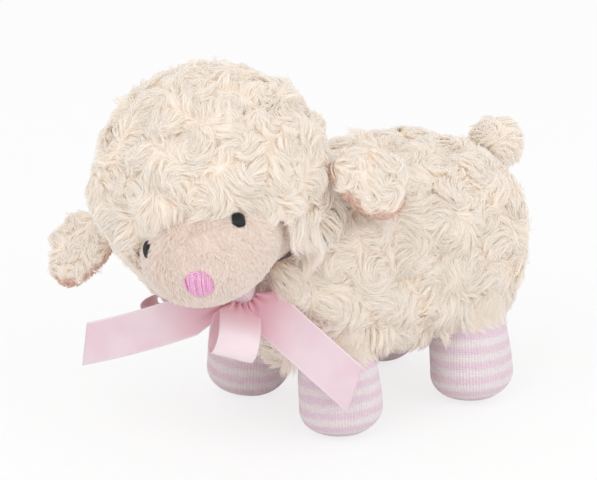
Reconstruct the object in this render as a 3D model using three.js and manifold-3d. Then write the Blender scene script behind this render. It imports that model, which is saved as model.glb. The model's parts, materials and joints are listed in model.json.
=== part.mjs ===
// A stuffed toy sheep that stands on four short legs, in millimetres. +Z is up, the chest looks
// along -Y and the sheep's own left side is +X. The origin is on the ground, under the middle of
// the sheep's box. Curly fleece covers the body, hood, ears and tail, velour covers the face and
// striped knit covers the legs. Each cover is a shell round its own stuffing, and every piece that
// flexes at a seam hangs in a group whose origin and axes are those of the seam.

import * as THREE from 'three';
import { mergeVertices } from 'three/addons/utils/BufferGeometryUtils.js';
import Module from 'manifold-3d';

const wasm = await Module();
wasm.setup();

const radians = THREE.MathUtils.degToRad;

// Cloth
const seamGap = 0.3; // between two pieces that touch
const seatGap = 0.45; // round the ball of a leg or the root of the tail or an ear
const fleeceThickness = 6; // backing cloth and curled pile together
const velourThickness = 2;
const knitThickness = 2;
const ribbonThickness = 0.6;
const ribbonWidth = 19;

// Curls of the fleece, as low lumps all over the body and the hood
const curlDepth = 3.4; // of the dips between them
const curlRadius = 9.5; // how far from its middle a curl reaches the bottom of its dips
const bodyCurls = 190;
const headCurls = 112;

// Body
const bodyHalfWidth = 48;
const bodyHalfLength = 71.5;
const bodyHalfHeight = 43;
const bellyHeight = 25.5; // ground to the underside
const girthFullness = 3; // of the section across the body: 2 is an ellipse, more is boxier
const lengthFullness = 3.8; // of the run from chest to rump
const rumpSwellShare = 0.03; // wider at the rump, narrower at the chest
const bellyPanelHalfWidth = 11.5;
const bellyPanelTop = 45;

// Neck, where the head is sewn to the body
const neckSetback = 14; // neck centre behind the front of the chest
const neckDrop = 22.5; // and below the top of the back
const neckLean = 40; // degrees that the neck axis leans forward of upright
const neckRadius = 26.5;
const neckBandWidth = 10; // the ribbon is gathered where it goes round the neck

// Head, in its own frame: x to its left, y to its back, z to its crown
const headReach = 23; // head centre in front of the neck centre
const headRise = 26.5; // and above it
const headTurn = 44; // degrees to the sheep's left
const headNod = 14; // degrees down
const headTilt = 23; // degrees, left ear up
const skullHalfWidth = 52;
const skullHalfDepth = 51;
const skullHalfHeight = 49;
const faceRecess = 4; // the velour lies this much lower than the fleece
const muzzleHalfWidth = 32;
const muzzleHalfDepth = 36.5;
const muzzleHalfHeight = 25;
const muzzleForward = 31.3;
const muzzleDrop = 10.4;
const hairlineForward = 46; // where the hood's edge crosses the forehead
const hairlineHeight = 8;
const hairlineSlope = 35; // degrees of the hood's edge from the upright

// Embroidery
const eyeSpacing = 44.6;
const eyeHeight = 3.6;
const eyeHalfWidth = 2.5;
const eyeHalfHeight = 3;
const noseHeight = -10.7;
const noseHalfWidth = 5.7;
const noseHalfHeight = 5.9;
const stitchRelief = 1.2; // stitches stand this far out of the velour

// Ears
const earLength = 37;
const earHalfWidth = 16.5;
const earHalfThickness = 5.5;
const earRootRadius = 4;
const earRootLength = 20;
const earRootTaperShare = 0.28;
const earCurl = 6; // how far the tip curls under
const earTwist = 32; // degrees that the front edge dips
const leftEarDroop = 40; // degrees below the side of the head
const rightEarDroop = 2;
const earRootBack = 2;
const earRootHeight = -10;
const liningRoll = 12; // degrees that the lining climbs round the front edge
const liningDepth = 0.8; // below the ear's middle

// Tail
const tailHalfWidth = 12;
const tailLength = 22;
const tailRootRadius = 9.5;
const tailRootAngle = 75; // degrees from the tail's axis to where it leaves its root
const tailLift = 33; // degrees above level
const tailHeight = 27; // above the body's middle

// Legs
const hipInset = 17.5; // hips in from the body's side
const hipSetback = 35; // hips in from the chest and the rump
const hipHeight = 43;
const hipRadius = 15.5;
const legRadius = 18.2;
const legBulgeHeight = 12; // hip down to where the leg is at its thickest
const soleDepth = 12; // height of the rounded end
const soleFlat = 0.8; // what the ground flattens off the rounded end
const legSplay = 5; // degrees outwards
const hipRelief = 16; // degrees that the socket opens downwards
const swingRoomShare = 0.8; // how much longer than wide the socket is at its foot
const fillOpeningRadius = 8; // hole at the top of the leg, left for the stuffing

// Bow
const bowTurn = 33; // degrees round the neck from the front, to the sheep's left
const knotHalfWidth = 6;
const knotHalfHeight = 4.8;
const knotHalfDepth = 6;
const knotFullness = 2.6;
const pinchHalfWidth = 3.4; // half the ribbon's width where the knot gathers it

// Each end and loop of the ribbon starts a little beside the knot's middle: to the sheep's left,
// up the neck and outwards from it. Its heading is in degrees from the sheep's left towards its
// back and its dip in degrees below the level. Its face looks in the face's heading and lift, and
// the gathers of the knot run out at the pinch. A free end is cut askew and arches off its line.
const ribbonEnds = {
  ribbon_tail_left: {
    left: 2, up: -1, out: 1, heading: 43, dip: 41.5, faceHeading: -38, faceLift: 19,
    length: 59, pinch: 6, cutSkewLength: 4.7, archHeight: 7,
  },
  ribbon_tail_right: {
    left: -1, up: -2, out: 3, heading: -131, dip: 18, faceHeading: -38, faceLift: -2,
    length: 66, pinch: 18, cutSkewLength: -4.4, archHeight: 5,
  },
};
const ribbonLoops = {
  bow_loop_left: {
    left: -1, up: -1.5, out: 4, heading: -47, dip: 48, faceHeading: -22, faceLift: 8,
    length: 26, pinch: 11, depth: 8,
  },
  bow_loop_right: {
    left: -3, up: -2, out: -1, heading: -147, dip: 14, faceHeading: 142, faceLift: 80,
    length: 39, pinch: 22, depth: 6,
  },
};

// How fine the faceted surfaces are
const coverAround = 24;
const coverAlong = 16;
const curlyAround = 44;
const curlyAlong = 30;
const fillAround = 16;
const fillAlong = 10;
const smallAround = 12;
const smallAlong = 6;
const latheSteps = 14;
const curveSteps = 2;
const exitHalvings = 20;
const loopReachShare = 0.75; // how far a cubic curve gets towards its controls, along
const loopDepthShare = 0.289; // and to the side
const ribbonSteps = 8;
const weldDistance = 0.001;
const overrun = 2; // cutting tools reach this far past what they cut

// Sizes that follow from the ones above
const bodyCentre = new THREE.Vector3(0, 0, bellyHeight + bodyHalfHeight);
const neckForward = bodyHalfLength - neckSetback;
const neckHeight = bellyHeight + 2 * bodyHalfHeight - neckDrop;
const headForward = neckForward + headReach;
const headCentre = new THREE.Vector3(0, -headForward, neckHeight + headRise);
const hipHalfSpacing = bodyHalfWidth - hipInset;
const hipForward = bodyHalfLength - hipSetback;
const toolReach = 2 * (bodyHalfLength + headForward + skullHalfWidth);
const roundFullness = 2; // an ellipsoid's

const finishes = {
  fleece: new THREE.MeshStandardMaterial({ color: '#f3e6d3', roughness: 0.95, metalness: 0 }),
  velour: new THREE.MeshStandardMaterial({ color: '#efe0d5', roughness: 0.9, metalness: 0 }),
  lining: new THREE.MeshStandardMaterial({ color: '#e6bfae', roughness: 0.9, metalness: 0 }),
  knit: new THREE.MeshStandardMaterial({ color: '#e8d3dc', roughness: 0.92, metalness: 0 }),
  satin: new THREE.MeshStandardMaterial({ color: '#f2c6d2', roughness: 0.45, metalness: 0 }),
  blackThread: new THREE.MeshStandardMaterial({ color: '#1c1b1e', roughness: 0.6, metalness: 0 }),
  pinkThread: new THREE.MeshStandardMaterial({ color: '#db8fc4', roughness: 0.55, metalness: 0 }),
  stuffing: new THREE.MeshStandardMaterial({ color: '#f5f3ef', roughness: 1, metalness: 0 }),
};

// A closed geometry as a solid that can be joined and cut.
function solidOf(geometry) {
  const loose = geometry.index ? geometry.toNonIndexed() : geometry;
  const bare = new THREE.BufferGeometry().setAttribute('position', loose.getAttribute('position'));
  const welded = mergeVertices(bare, weldDistance);
  const corners = welded.index.array;
  const kept = [];
  for (let i = 0; i < corners.length; i += 3) {
    const [a, b, c] = corners.slice(i, i + 3);
    if (a !== b && b !== c && c !== a) kept.push(a, b, c);
  }
  return new wasm.Manifold(
    new wasm.Mesh({
      numProp: 3,
      vertProperties: welded.attributes.position.array,
      triVerts: new Uint32Array(kept),
    }),
  );
}

function geometryOf(solid) {
  const mesh = solid.getMesh();
  const geometry = new THREE.BufferGeometry();
  geometry.setAttribute('position', new THREE.BufferAttribute(mesh.vertProperties, mesh.numProp));
  geometry.setIndex(new THREE.BufferAttribute(mesh.triVerts, 1));
  return geometry;
}

const cutBy = (solid, tools) => tools.reduce((left, tool) => left.subtract(tool), solid);

// A frame from its origin and its x and z directions, made square to each other.
function frameAt(origin, xAxis, zAxis) {
  const z = zAxis.clone().normalize();
  const y = z.clone().cross(xAxis).normalize();
  const x = y.clone().cross(z);
  return new THREE.Matrix4().makeBasis(x, y, z).setPosition(origin);
}

// Everything on the +z side of a frame, as a big block.
function sideOf(frame, offset = 0) {
  const block = new THREE.BoxGeometry(toolReach, toolReach, toolReach);
  return solidOf(block.translate(0, 0, toolReach / 2 + offset).applyMatrix4(frame));
}

// A frame on the middle plane whose z looks to the left.
const facingLeft = frameAt(new THREE.Vector3(), new THREE.Vector3(0, 1, 0), new THREE.Vector3(1, 0, 0));

function flipped(frame) {
  return frame.clone().multiply(new THREE.Matrix4().makeRotationX(Math.PI));
}

// How far out a point lies, as a share of the way to the surface of a unit stuffed form.
function formShare(place, girth, length) {
  const across = Math.abs(place.x) ** girth + Math.abs(place.z) ** girth;
  return (across ** (length / girth) + Math.abs(place.y) ** length) ** (1 / length);
}

// A stuffed form: a ball swollen towards a box by its fullness across and along y, and wider at
// +y by its swell.
function stuffedForm(half, girth, length, around, along, swell = 0) {
  const ball = new THREE.SphereGeometry(1, around, along);
  const places = ball.getAttribute('position');
  const place = new THREE.Vector3();
  for (let i = 0; i < places.count; i++) {
    place.fromBufferAttribute(places, i);
    place.divideScalar(formShare(place, girth, length));
    place.x *= 1 + swell * place.y;
    places.setXYZ(i, place.x * half.x, place.y * half.y, place.z * half.z);
  }
  return ball;
}

// The middles of curls, spread evenly over a unit ball by the golden angle.
function curlMiddles(count) {
  const goldenAngle = Math.PI * (3 - Math.sqrt(5));
  return Array.from({ length: count }, (_, i) => {
    const height = 1 - (2 * i + 1) / count;
    const across = Math.sqrt(1 - height ** 2);
    const turn = i * goldenAngle;
    return new THREE.Vector3(across * Math.cos(turn), height, across * Math.sin(turn));
  });
}

// A stuffed form of curly fleece. Its curls reach the smooth form, and the dips lie inside it.
function curlyForm(half, girth, length, count, swell = 0) {
  const form = stuffedForm(half, girth, length, curlyAround, curlyAlong, swell);
  const middles = curlMiddles(count).map((middle) => {
    middle.divideScalar(formShare(middle, girth, length));
    middle.x *= 1 + swell * middle.y;
    return middle.multiply(half);
  });
  const places = form.getAttribute('position');
  const place = new THREE.Vector3();
  for (let i = 0; i < places.count; i++) {
    place.fromBufferAttribute(places, i);
    const distance = Math.min(...middles.map((middle) => middle.distanceTo(place)));
    const share = Math.min(distance / curlRadius, 1);
    place.setLength(place.length() - curlDepth * share ** 2);
    places.setXYZ(i, place.x, place.y, place.z);
  }
  return form;
}

// A turned form about z, from an outline of x across and y up.
function turnedForm(outline, steps = latheSteps) {
  return new THREE.LatheGeometry(outline.getPoints(curveSteps), steps).rotateX(Math.PI / 2);
}

const sheep = new THREE.Group();

// A group at a seam, under the group that carries it. Both frames are in the sheep's own frame.
function seamGroup(carrier, place) {
  const group = new THREE.Group();
  carrier.updateWorldMatrix(true, false);
  const local = carrier.matrixWorld.clone().invert().multiply(place);
  local.decompose(group.position, group.quaternion, group.scale);
  carrier.add(group);
  group.updateWorldMatrix(true, false);
  return group;
}

// Hangs a solid, made in the sheep's own frame, in the group that it moves with.
function addPiece(group, name, solid, finish) {
  const geometry = geometryOf(solid).applyMatrix4(group.matrixWorld.clone().invert());
  geometry.computeVertexNormals();
  const mesh = new THREE.Mesh(geometry, finish);
  mesh.name = name;
  group.add(mesh);
}

// Neck: the cut between head and body, and the groove that the ribbon lies in.
const neckAxis = new THREE.Vector3(0, -Math.sin(radians(neckLean)), Math.cos(radians(neckLean)));
const neckFrame = frameAt(
  new THREE.Vector3(0, -neckForward, neckHeight),
  new THREE.Vector3(1, 0, 0),
  neckAxis,
);
const aboveNeck = sideOf(neckFrame, seamGap / 2);
const belowNeck = sideOf(flipped(neckFrame), seamGap / 2);

function ringAbout(frame, innerRadius, outerRadius, height, steps) {
  const section = new THREE.Path();
  section.moveTo(innerRadius, -height / 2);
  section.lineTo(outerRadius, -height / 2);
  section.lineTo(outerRadius, height / 2);
  section.lineTo(innerRadius, height / 2);
  section.lineTo(innerRadius, -height / 2);
  return solidOf(turnedForm(section, steps).applyMatrix4(frame));
}

// The groove for the ribbon, and for the hollow and the stuffing the same shape set in.
function neckGroove(inset) {
  const width = neckBandWidth + 2 * (seamGap + inset);
  return ringAbout(neckFrame, neckRadius - inset, toolReach, width, coverAround);
}

// Body

const bodyHalf = new THREE.Vector3(bodyHalfWidth, bodyHalfLength, bodyHalfHeight);

function setInBody(form, inset) {
  return solidOf(form.translate(...bodyCentre.toArray())).subtract(neckGroove(inset));
}

function bodyForm(inset, around, along) {
  const half = bodyHalf.clone().subScalar(inset);
  const form = stuffedForm(half, girthFullness, lengthFullness, around, along, rumpSwellShare);
  return setInBody(form, inset);
}

function curlyBody() {
  const form = curlyForm(bodyHalf, girthFullness, lengthFullness, bodyCurls, rumpSwellShare);
  return setInBody(form, 0);
}

// Legs: a knitted tube with a rounded end, a ball at the hip and a hole at the top for the filling.

function hipFrame(side, end) {
  const hip = new THREE.Vector3(side * hipHalfSpacing, end * hipForward, hipHeight);
  const splay = radians(legSplay);
  const up = new THREE.Vector3(-side * Math.sin(splay), 0, Math.cos(splay));
  return frameAt(hip, new THREE.Vector3(1, 0, 0), up);
}

const soleRadius = legRadius ** 2 / soleDepth; // how round the sole is at its middle
const legLength = soleRadius + (hipHeight + soleFlat - soleRadius) / Math.cos(radians(legSplay));

function legOutline(inset) {
  const radius = legRadius - inset;
  const ball = hipRadius - inset;
  const top = -legBulgeHeight / 2;
  const outline = new THREE.Path();
  outline.moveTo(0, inset - legLength);
  outline.absellipse(0, soleDepth - legLength, radius, soleDepth - inset, -Math.PI / 2, 0);
  outline.bezierCurveTo(radius, -legBulgeHeight, ball, top, ball, 0);
  outline.absarc(0, 0, ball, 0, Math.PI / 2);
  return outline;
}

function hipSocket(frame) {
  const radius = hipRadius + seatGap;
  const depth = hipHeight;
  const outline = new THREE.Path();
  outline.moveTo(0, -depth);
  outline.lineTo(radius + depth * Math.tan(radians(hipRelief)), -depth);
  outline.lineTo(radius, 0);
  outline.absarc(0, 0, radius, 0, Math.PI / 2);
  const socket = turnedForm(outline);
  const places = socket.getAttribute('position');
  for (let i = 0; i < places.count; i++) {
    const room = 1 + (swingRoomShare * Math.max(-places.getZ(i), 0)) / depth;
    places.setY(i, places.getY(i) * room);
  }
  return solidOf(socket.applyMatrix4(frame));
}

function addLeg(name, side, end) {
  const frame = hipFrame(side, end);
  const group = seamGroup(sheep, frame);
  const ground = sideOf(new THREE.Matrix4());
  const outside = solidOf(turnedForm(legOutline(0)).applyMatrix4(frame)).intersect(ground);
  const hollow = solidOf(turnedForm(legOutline(knitThickness)).applyMatrix4(frame));
  const opening = new THREE.CylinderGeometry(
    fillOpeningRadius,
    fillOpeningRadius,
    hipRadius + overrun,
    latheSteps,
  );
  opening.rotateX(Math.PI / 2).translate(0, 0, (hipRadius + overrun) / 2).applyMatrix4(frame);
  const stuffing = solidOf(turnedForm(legOutline(knitThickness + seamGap)).applyMatrix4(frame));
  addPiece(group, name + '_sock', cutBy(outside, [hollow, solidOf(opening)]), finishes.knit);
  addPiece(group, name + '_stuffing', stuffing, finishes.stuffing);
}

const legs = [
  ['leg_front_left', 1, -1],
  ['leg_front_right', -1, -1],
  ['leg_rear_left', 1, 1],
  ['leg_rear_right', -1, 1],
];

// Tail: a stub whose round root sits in a hollow in the rump.

const rumpShare = (1 - (tailHeight / bodyHalfHeight) ** lengthFullness) ** (1 / lengthFullness);
const tailSeat = new THREE.Vector3(0, bodyHalfLength * rumpShare, tailHeight).add(bodyCentre);
const tailAxis = new THREE.Vector3(0, Math.cos(radians(tailLift)), Math.sin(radians(tailLift)));
const tailFrame = frameAt(tailSeat, new THREE.Vector3(1, 0, 0), tailAxis);

function tailOutline(inset) {
  const root = tailRootRadius - inset;
  const angle = radians(tailRootAngle);
  const neckX = root * Math.sin(angle);
  const neckY = root * Math.cos(angle);
  const width = tailHalfWidth - inset;
  const outline = new THREE.Path();
  outline.moveTo(0, -root);
  outline.absarc(0, 0, root, -Math.PI / 2, Math.PI / 2 - angle);
  outline.quadraticCurveTo(width, 2 * neckY, width, tailLength - tailHalfWidth);
  outline.absarc(0, tailLength - tailHalfWidth, width, 0, Math.PI / 2);
  return { outline, neckX };
}

function addTail() {
  const group = seamGroup(sheep, tailFrame);
  const made = (inset) => solidOf(turnedForm(tailOutline(inset).outline).applyMatrix4(tailFrame));
  const shell = fleeceThickness / 2;
  const mouth = new THREE.CylinderGeometry(
    tailOutline(shell).neckX / 2,
    tailOutline(shell).neckX / 2,
    tailRootRadius + overrun,
    latheSteps,
  );
  mouth.rotateX(Math.PI / 2).translate(0, 0, -(tailRootRadius + overrun) / 2).applyMatrix4(tailFrame);
  const cover = cutBy(made(0), [made(shell), solidOf(mouth)]);
  addPiece(group, 'tail_cover', cover, finishes.fleece);
  addPiece(group, 'tail_stuffing', made(shell + seamGap), finishes.stuffing);
}

const tailSocket = solidOf(
  new THREE.SphereGeometry(tailRootRadius + seatGap, latheSteps, smallAround).applyMatrix4(
    tailFrame,
  ),
);

// Body cover, sewn from two sides and a belly panel, and its stuffing.
function addBody() {
  const sockets = legs.map(([, side, end]) => hipSocket(hipFrame(side, end)));
  const tools = [tailSocket, ...sockets];
  const shaped = (solid) => cutBy(solid.intersect(belowNeck), tools);
  const hollow = bodyForm(fleeceThickness, fillAround, fillAlong);
  const cover = shaped(curlyBody().subtract(hollow));
  const stuffing = shaped(bodyForm(fleeceThickness + seamGap, fillAround, fillAlong));

  const strip = (halfWidth, top) => {
    const block = new THREE.BoxGeometry(2 * halfWidth, toolReach, toolReach);
    return solidOf(block.translate(0, 0, top - toolReach / 2));
  };
  const bellyStrip = strip(bellyPanelHalfWidth, bellyPanelTop);
  const bellyRoom = strip(bellyPanelHalfWidth + seamGap, bellyPanelTop + seamGap);
  const leftSide = sideOf(facingLeft, seamGap / 2);
  const rightSide = sideOf(flipped(facingLeft), seamGap / 2);
  const sides = cover.subtract(bellyRoom);
  addPiece(sheep, 'body_side_left', sides.intersect(leftSide), finishes.fleece);
  addPiece(sheep, 'body_side_right', sides.intersect(rightSide), finishes.fleece);
  addPiece(sheep, 'belly_panel', cover.intersect(bellyStrip), finishes.fleece);
  addPiece(sheep, 'body_stuffing', stuffing, finishes.stuffing);
}

// Head

const headFrame = new THREE.Matrix4()
  .makeRotationFromEuler(
    new THREE.Euler(radians(headNod), -radians(headTilt), radians(headTurn), 'ZXY'),
  )
  .setPosition(headCentre);
const skullHalf = new THREE.Vector3(skullHalfWidth, skullHalfDepth, skullHalfHeight);
const muzzleCentre = new THREE.Vector3(0, -muzzleForward, -muzzleDrop);

function skullForm(inset, around, along) {
  const half = skullHalf.clone().subScalar(inset);
  const form = stuffedForm(half, roundFullness, roundFullness, around, along).applyMatrix4(headFrame);
  return solidOf(form).subtract(neckGroove(inset));
}

function curlyHead() {
  const form = curlyForm(skullHalf, roundFullness, roundFullness, headCurls).applyMatrix4(headFrame);
  return solidOf(form).subtract(neckGroove(0));
}

function muzzleForm(inset, around, along) {
  const half = new THREE.Vector3(muzzleHalfWidth, muzzleHalfDepth, muzzleHalfHeight);
  const form = stuffedForm(half.subScalar(inset), roundFullness, roundFullness, around, along);
  return solidOf(form.translate(...muzzleCentre.toArray()).applyMatrix4(headFrame));
}

// The plane of the hood's edge, with z towards the hood.
const hoodUp = new THREE.Vector3(
  0,
  Math.cos(radians(hairlineSlope)),
  Math.sin(radians(hairlineSlope)),
);
const hairlineFrame = headFrame
  .clone()
  .multiply(
    frameAt(
      new THREE.Vector3(0, -hairlineForward, hairlineHeight),
      new THREE.Vector3(1, 0, 0),
      hoodUp,
    ),
  );

function earFrame(side) {
  const backShare = earRootBack / skullHalfDepth;
  const upShare = earRootHeight / skullHalfHeight;
  const outShare = Math.sqrt(1 - backShare ** 2 - upShare ** 2);
  const root = new THREE.Vector3(side * outShare * skullHalfWidth, earRootBack, earRootHeight);
  const droop = radians(side > 0 ? leftEarDroop : rightEarDroop);
  const outwards = new THREE.Vector3(side * Math.cos(droop), 0, -Math.sin(droop));
  const upwards = new THREE.Vector3(side * Math.sin(droop), 0, Math.cos(droop));
  upwards.applyAxisAngle(outwards, side * radians(earTwist));
  return headFrame.clone().multiply(frameAt(root, outwards, upwards));
}

function earRootSolid(side, inset) {
  const root = new THREE.CylinderGeometry(
    earRootRadius - inset,
    earRootRadius - inset,
    earRootLength - 2 * inset,
    latheSteps,
  );
  return solidOf(root.applyMatrix4(earFrame(side)));
}

// Height above the velour of a point at x and z of the head's frame.
function onFace(x, z) {
  const share = 1 - (x / muzzleHalfWidth) ** 2 - ((z + muzzleDrop) / muzzleHalfHeight) ** 2;
  return new THREE.Vector3(x, -muzzleForward - muzzleHalfDepth * Math.sqrt(share), z);
}

// A pad of stitches that hugs the velour.
function stitchedPad(x, z, halfWidth, halfHeight) {
  const place = onFace(x, z);
  const outwards = place
    .clone()
    .sub(muzzleCentre)
    .divide(new THREE.Vector3(muzzleHalfWidth ** 2, muzzleHalfDepth ** 2, muzzleHalfHeight ** 2));
  const depth = stitchRelief + halfWidth / 2;
  const half = new THREE.Vector3(halfWidth, halfHeight, depth);
  const pad = stuffedForm(half, roundFullness, roundFullness, smallAround, smallAlong);
  const frame = frameAt(place, new THREE.Vector3(1, 0, 0), outwards);
  pad.translate(0, 0, stitchRelief + seamGap - depth);
  pad.applyMatrix4(headFrame.clone().multiply(frame));
  return solidOf(pad).subtract(muzzleForm(-seamGap, coverAround, coverAlong));
}

function addEar(carrier, name, side) {
  const frame = earFrame(side);
  const group = seamGroup(carrier, frame);
  const half = new THREE.Vector3(earLength / 2, earHalfWidth, earHalfThickness);
  const leaf = stuffedForm(half, roundFullness, roundFullness, coverAround, smallAlong);
  const places = leaf.getAttribute('position');
  for (let i = 0; i < places.count; i++) {
    const taper = 1 + (earRootTaperShare * places.getX(i)) / half.x;
    places.setY(i, places.getY(i) * taper);
  }
  const flat = solidOf(leaf.translate(half.x, 0, 0));
  const split = new THREE.Matrix4().makeRotationX(-side * radians(liningRoll));
  const upper = flat.intersect(sideOf(split, seamGap / 2 - liningDepth));
  const lower = flat.intersect(sideOf(flipped(split), liningDepth + seamGap / 2));
  const curled = (solid) => {
    const geometry = geometryOf(solid);
    const spots = geometry.getAttribute('position');
    for (let i = 0; i < spots.count; i++) {
      const share = Math.max(spots.getX(i), 0) / earLength;
      spots.setZ(i, spots.getZ(i) - earCurl * share ** 2);
    }
    return solidOf(geometry.applyMatrix4(frame));
  };
  const outer = curled(upper).add(earRootSolid(side, 0));
  const lining = curled(lower).subtract(earRootSolid(side, -seamGap));
  addPiece(group, name + '_fleece', outer, finishes.fleece);
  addPiece(group, name + '_lining', lining, finishes.lining);
}

function addHead() {
  const group = seamGroup(sheep, neckFrame);
  const hoodSide = sideOf(hairlineFrame, seamGap / 2);
  const faceSide = sideOf(flipped(hairlineFrame), seamGap / 2);
  const hollow = skullForm(fleeceThickness, fillAround, fillAlong);
  const earRooms = [1, -1].map((side) => earRootSolid(side, -seamGap));
  const shaped = (solid) => cutBy(solid.intersect(aboveNeck), earRooms);

  const hood = shaped(curlyHead().subtract(hollow).intersect(hoodSide));
  const headLeft = headFrame.clone().multiply(facingLeft);
  addPiece(group, 'hood_left', hood.intersect(sideOf(headLeft, seamGap / 2)), finishes.fleece);
  addPiece(group, 'hood_right', hood.intersect(sideOf(flipped(headLeft), seamGap / 2)), finishes.fleece);

  const muzzleHollow = muzzleForm(velourThickness, fillAround, fillAlong);
  const face = skullForm(faceRecess, coverAround, coverAlong)
    .add(muzzleForm(0, coverAround, coverAlong))
    .subtract(hollow)
    .subtract(muzzleHollow)
    .intersect(faceSide);
  addPiece(group, 'face_cover', shaped(face), finishes.velour);

  const muzzleStuffing = muzzleForm(velourThickness + seamGap, fillAround, fillAlong);
  const stuffing = skullForm(fleeceThickness + seamGap, fillAround, fillAlong).add(
    muzzleStuffing.intersect(faceSide),
  );
  addPiece(group, 'head_stuffing', shaped(stuffing), finishes.stuffing);

  for (const [name, side] of [['eye_left', 1], ['eye_right', -1]]) {
    const pad = stitchedPad((side * eyeSpacing) / 2, eyeHeight, eyeHalfWidth, eyeHalfHeight);
    addPiece(group, name, pad, finishes.blackThread);
  }
  addPiece(group, 'nose', stitchedPad(0, noseHeight, noseHalfWidth, noseHalfHeight), finishes.pinkThread);
  addEar(group, 'ear_left', 1);
  addEar(group, 'ear_right', -1);
}

// Ribbon

const bandRadius = neckRadius + seamGap; // inside of the ribbon round the neck
const knotRadius = bandRadius + ribbonThickness + seamGap + knotHalfDepth;
const knotOutwards = new THREE.Vector3(Math.sin(radians(bowTurn)), -Math.cos(radians(bowTurn)), 0);
const knotFrame = neckFrame
  .clone()
  .multiply(
    frameAt(
      knotOutwards.clone().multiplyScalar(knotRadius),
      new THREE.Vector3(Math.cos(radians(bowTurn)), Math.sin(radians(bowTurn)), 0),
      knotOutwards,
    ),
  );

function knotForm(inset) {
  const half = new THREE.Vector3(knotHalfWidth, knotHalfHeight, knotHalfDepth).subScalar(inset);
  const form = stuffedForm(half, knotFullness, knotFullness, smallAround, smallAlong);
  return solidOf(form.applyMatrix4(knotFrame));
}

// A direction from its heading and its lift above the level, both in degrees.
function heading(turn, lift) {
  const level = Math.cos(radians(lift));
  const [side, back] = [Math.cos(radians(turn)), Math.sin(radians(turn))];
  return new THREE.Vector3(side * level, back * level, Math.sin(radians(lift)));
}

// How far a run from inside the knot goes before it comes out, in the knot's own frame.
function reachOutOfKnot(start, along) {
  const half = new THREE.Vector3(knotHalfWidth, knotHalfHeight, knotHalfDepth);
  let [inside, outside] = [0, 2 * half.length()];
  for (let i = 0; i < exitHalvings; i++) {
    const middle = (inside + outside) / 2;
    const place = start.clone().addScaledVector(along, middle).divide(half);
    if (formShare(place, knotFullness, knotFullness) < 1) inside = middle;
    else outside = middle;
  }
  return outside + seamGap;
}

// The frame of a ribbon where it leaves the knot: x along it, y across it and z out of its face.
function ribbonFrame(run) {
  const along = heading(run.heading, -run.dip);
  const across = heading(run.faceHeading, run.faceLift).cross(along).normalize();
  const face = along.clone().cross(across);
  const start = new THREE.Vector3(run.left, run.up, run.out);
  const alongInKnot = along.clone().transformDirection(knotFrame.clone().invert());
  const exit = start.addScaledVector(alongInKnot, reachOutOfKnot(start, alongInKnot));
  return frameAt(exit.applyMatrix4(knotFrame), along, face);
}

// A ribbon that follows a curve of x along and y out of its face, gathered at its start.
function ribbonSolid(frame, curve, planOutline) {
  const outerSide = [];
  const innerSide = [];
  for (let i = 0; i <= ribbonSteps; i++) {
    const place = curve.getPoint(i / ribbonSteps);
    const along = curve.getTangent(i / ribbonSteps);
    const across = new THREE.Vector2(-along.y, along.x).multiplyScalar(ribbonThickness / 2);
    outerSide.push(place.clone().add(across));
    innerSide.push(place.clone().sub(across));
  }
  const section = new THREE.Shape([...outerSide, ...innerSide.reverse()]);
  const extrusion = { depth: ribbonWidth + overrun, bevelEnabled: false };
  const sheet = new THREE.ExtrudeGeometry(section, extrusion);
  sheet.translate(0, 0, -(ribbonWidth + overrun) / 2).rotateX(Math.PI / 2);
  const depth = 2 * ribbonWidth;
  const plan = new THREE.ExtrudeGeometry(planOutline, { depth, bevelEnabled: false });
  plan.translate(0, 0, -depth / 2);
  const cut = solidOf(sheet.applyMatrix4(frame)).intersect(solidOf(plan.applyMatrix4(frame)));
  return cut.subtract(knotForm(-seamGap));
}

// The ribbon seen from its face: pinched at the knot, and cut at a slant at its end.
function ribbonPlan(length, pinch, skew) {
  const half = ribbonWidth / 2;
  const plan = new THREE.Shape();
  plan.moveTo(0, -pinchHalfWidth);
  plan.lineTo(pinch, -half);
  plan.lineTo(length + skew, -half);
  plan.lineTo(length - skew, half);
  plan.lineTo(pinch, half);
  plan.lineTo(0, pinchHalfWidth);
  return plan;
}

const vector2 = (x, y) => new THREE.Vector2(x, y);

function addRibbon() {
  const outerRadius = bandRadius + ribbonThickness;
  const band = ringAbout(neckFrame, bandRadius, outerRadius, neckBandWidth, coverAround);
  addPiece(sheep, 'neck_ribbon', band, finishes.satin);
  addPiece(sheep, 'bow_knot', knotForm(0), finishes.satin);
  for (const [name, run] of Object.entries(ribbonEnds)) {
    const frame = ribbonFrame(run);
    const end = run.length + Math.abs(run.cutSkewLength) + overrun;
    const curve = new THREE.QuadraticBezierCurve(
      vector2(0, 0),
      vector2(end / 2, 2 * run.archHeight),
      vector2(end, 0),
    );
    const strip = ribbonSolid(frame, curve, ribbonPlan(run.length, run.pinch, run.cutSkewLength));
    addPiece(seamGroup(sheep, frame), name, strip, finishes.satin);
  }
  for (const [name, run] of Object.entries(ribbonLoops)) {
    const controlReach = run.length / loopReachShare;
    const controlDepth = run.depth / (2 * loopDepthShare);
    const curve = new THREE.CubicBezierCurve(
      vector2(0, ribbonThickness),
      vector2(controlReach, controlDepth),
      vector2(controlReach, -controlDepth),
      vector2(0, -ribbonThickness),
    );
    const strip = ribbonSolid(ribbonFrame(run), curve, ribbonPlan(run.length + overrun, run.pinch, 0));
    addPiece(sheep, name, strip, finishes.satin);
  }
}

addBody();
for (const [name, side, end] of legs) addLeg(name, side, end);
addTail();
addHead();
addRibbon();

// Stand the sheep with its origin on the ground, under the middle of its box.
const box = new THREE.Box3().setFromObject(sheep, true);
const middle = box.getCenter(new THREE.Vector3());
sheep.position.set(-middle.x, -middle.y, -box.min.z);

const part = new THREE.Group();
part.add(sheep);

export default part;
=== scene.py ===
import json
import math

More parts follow.
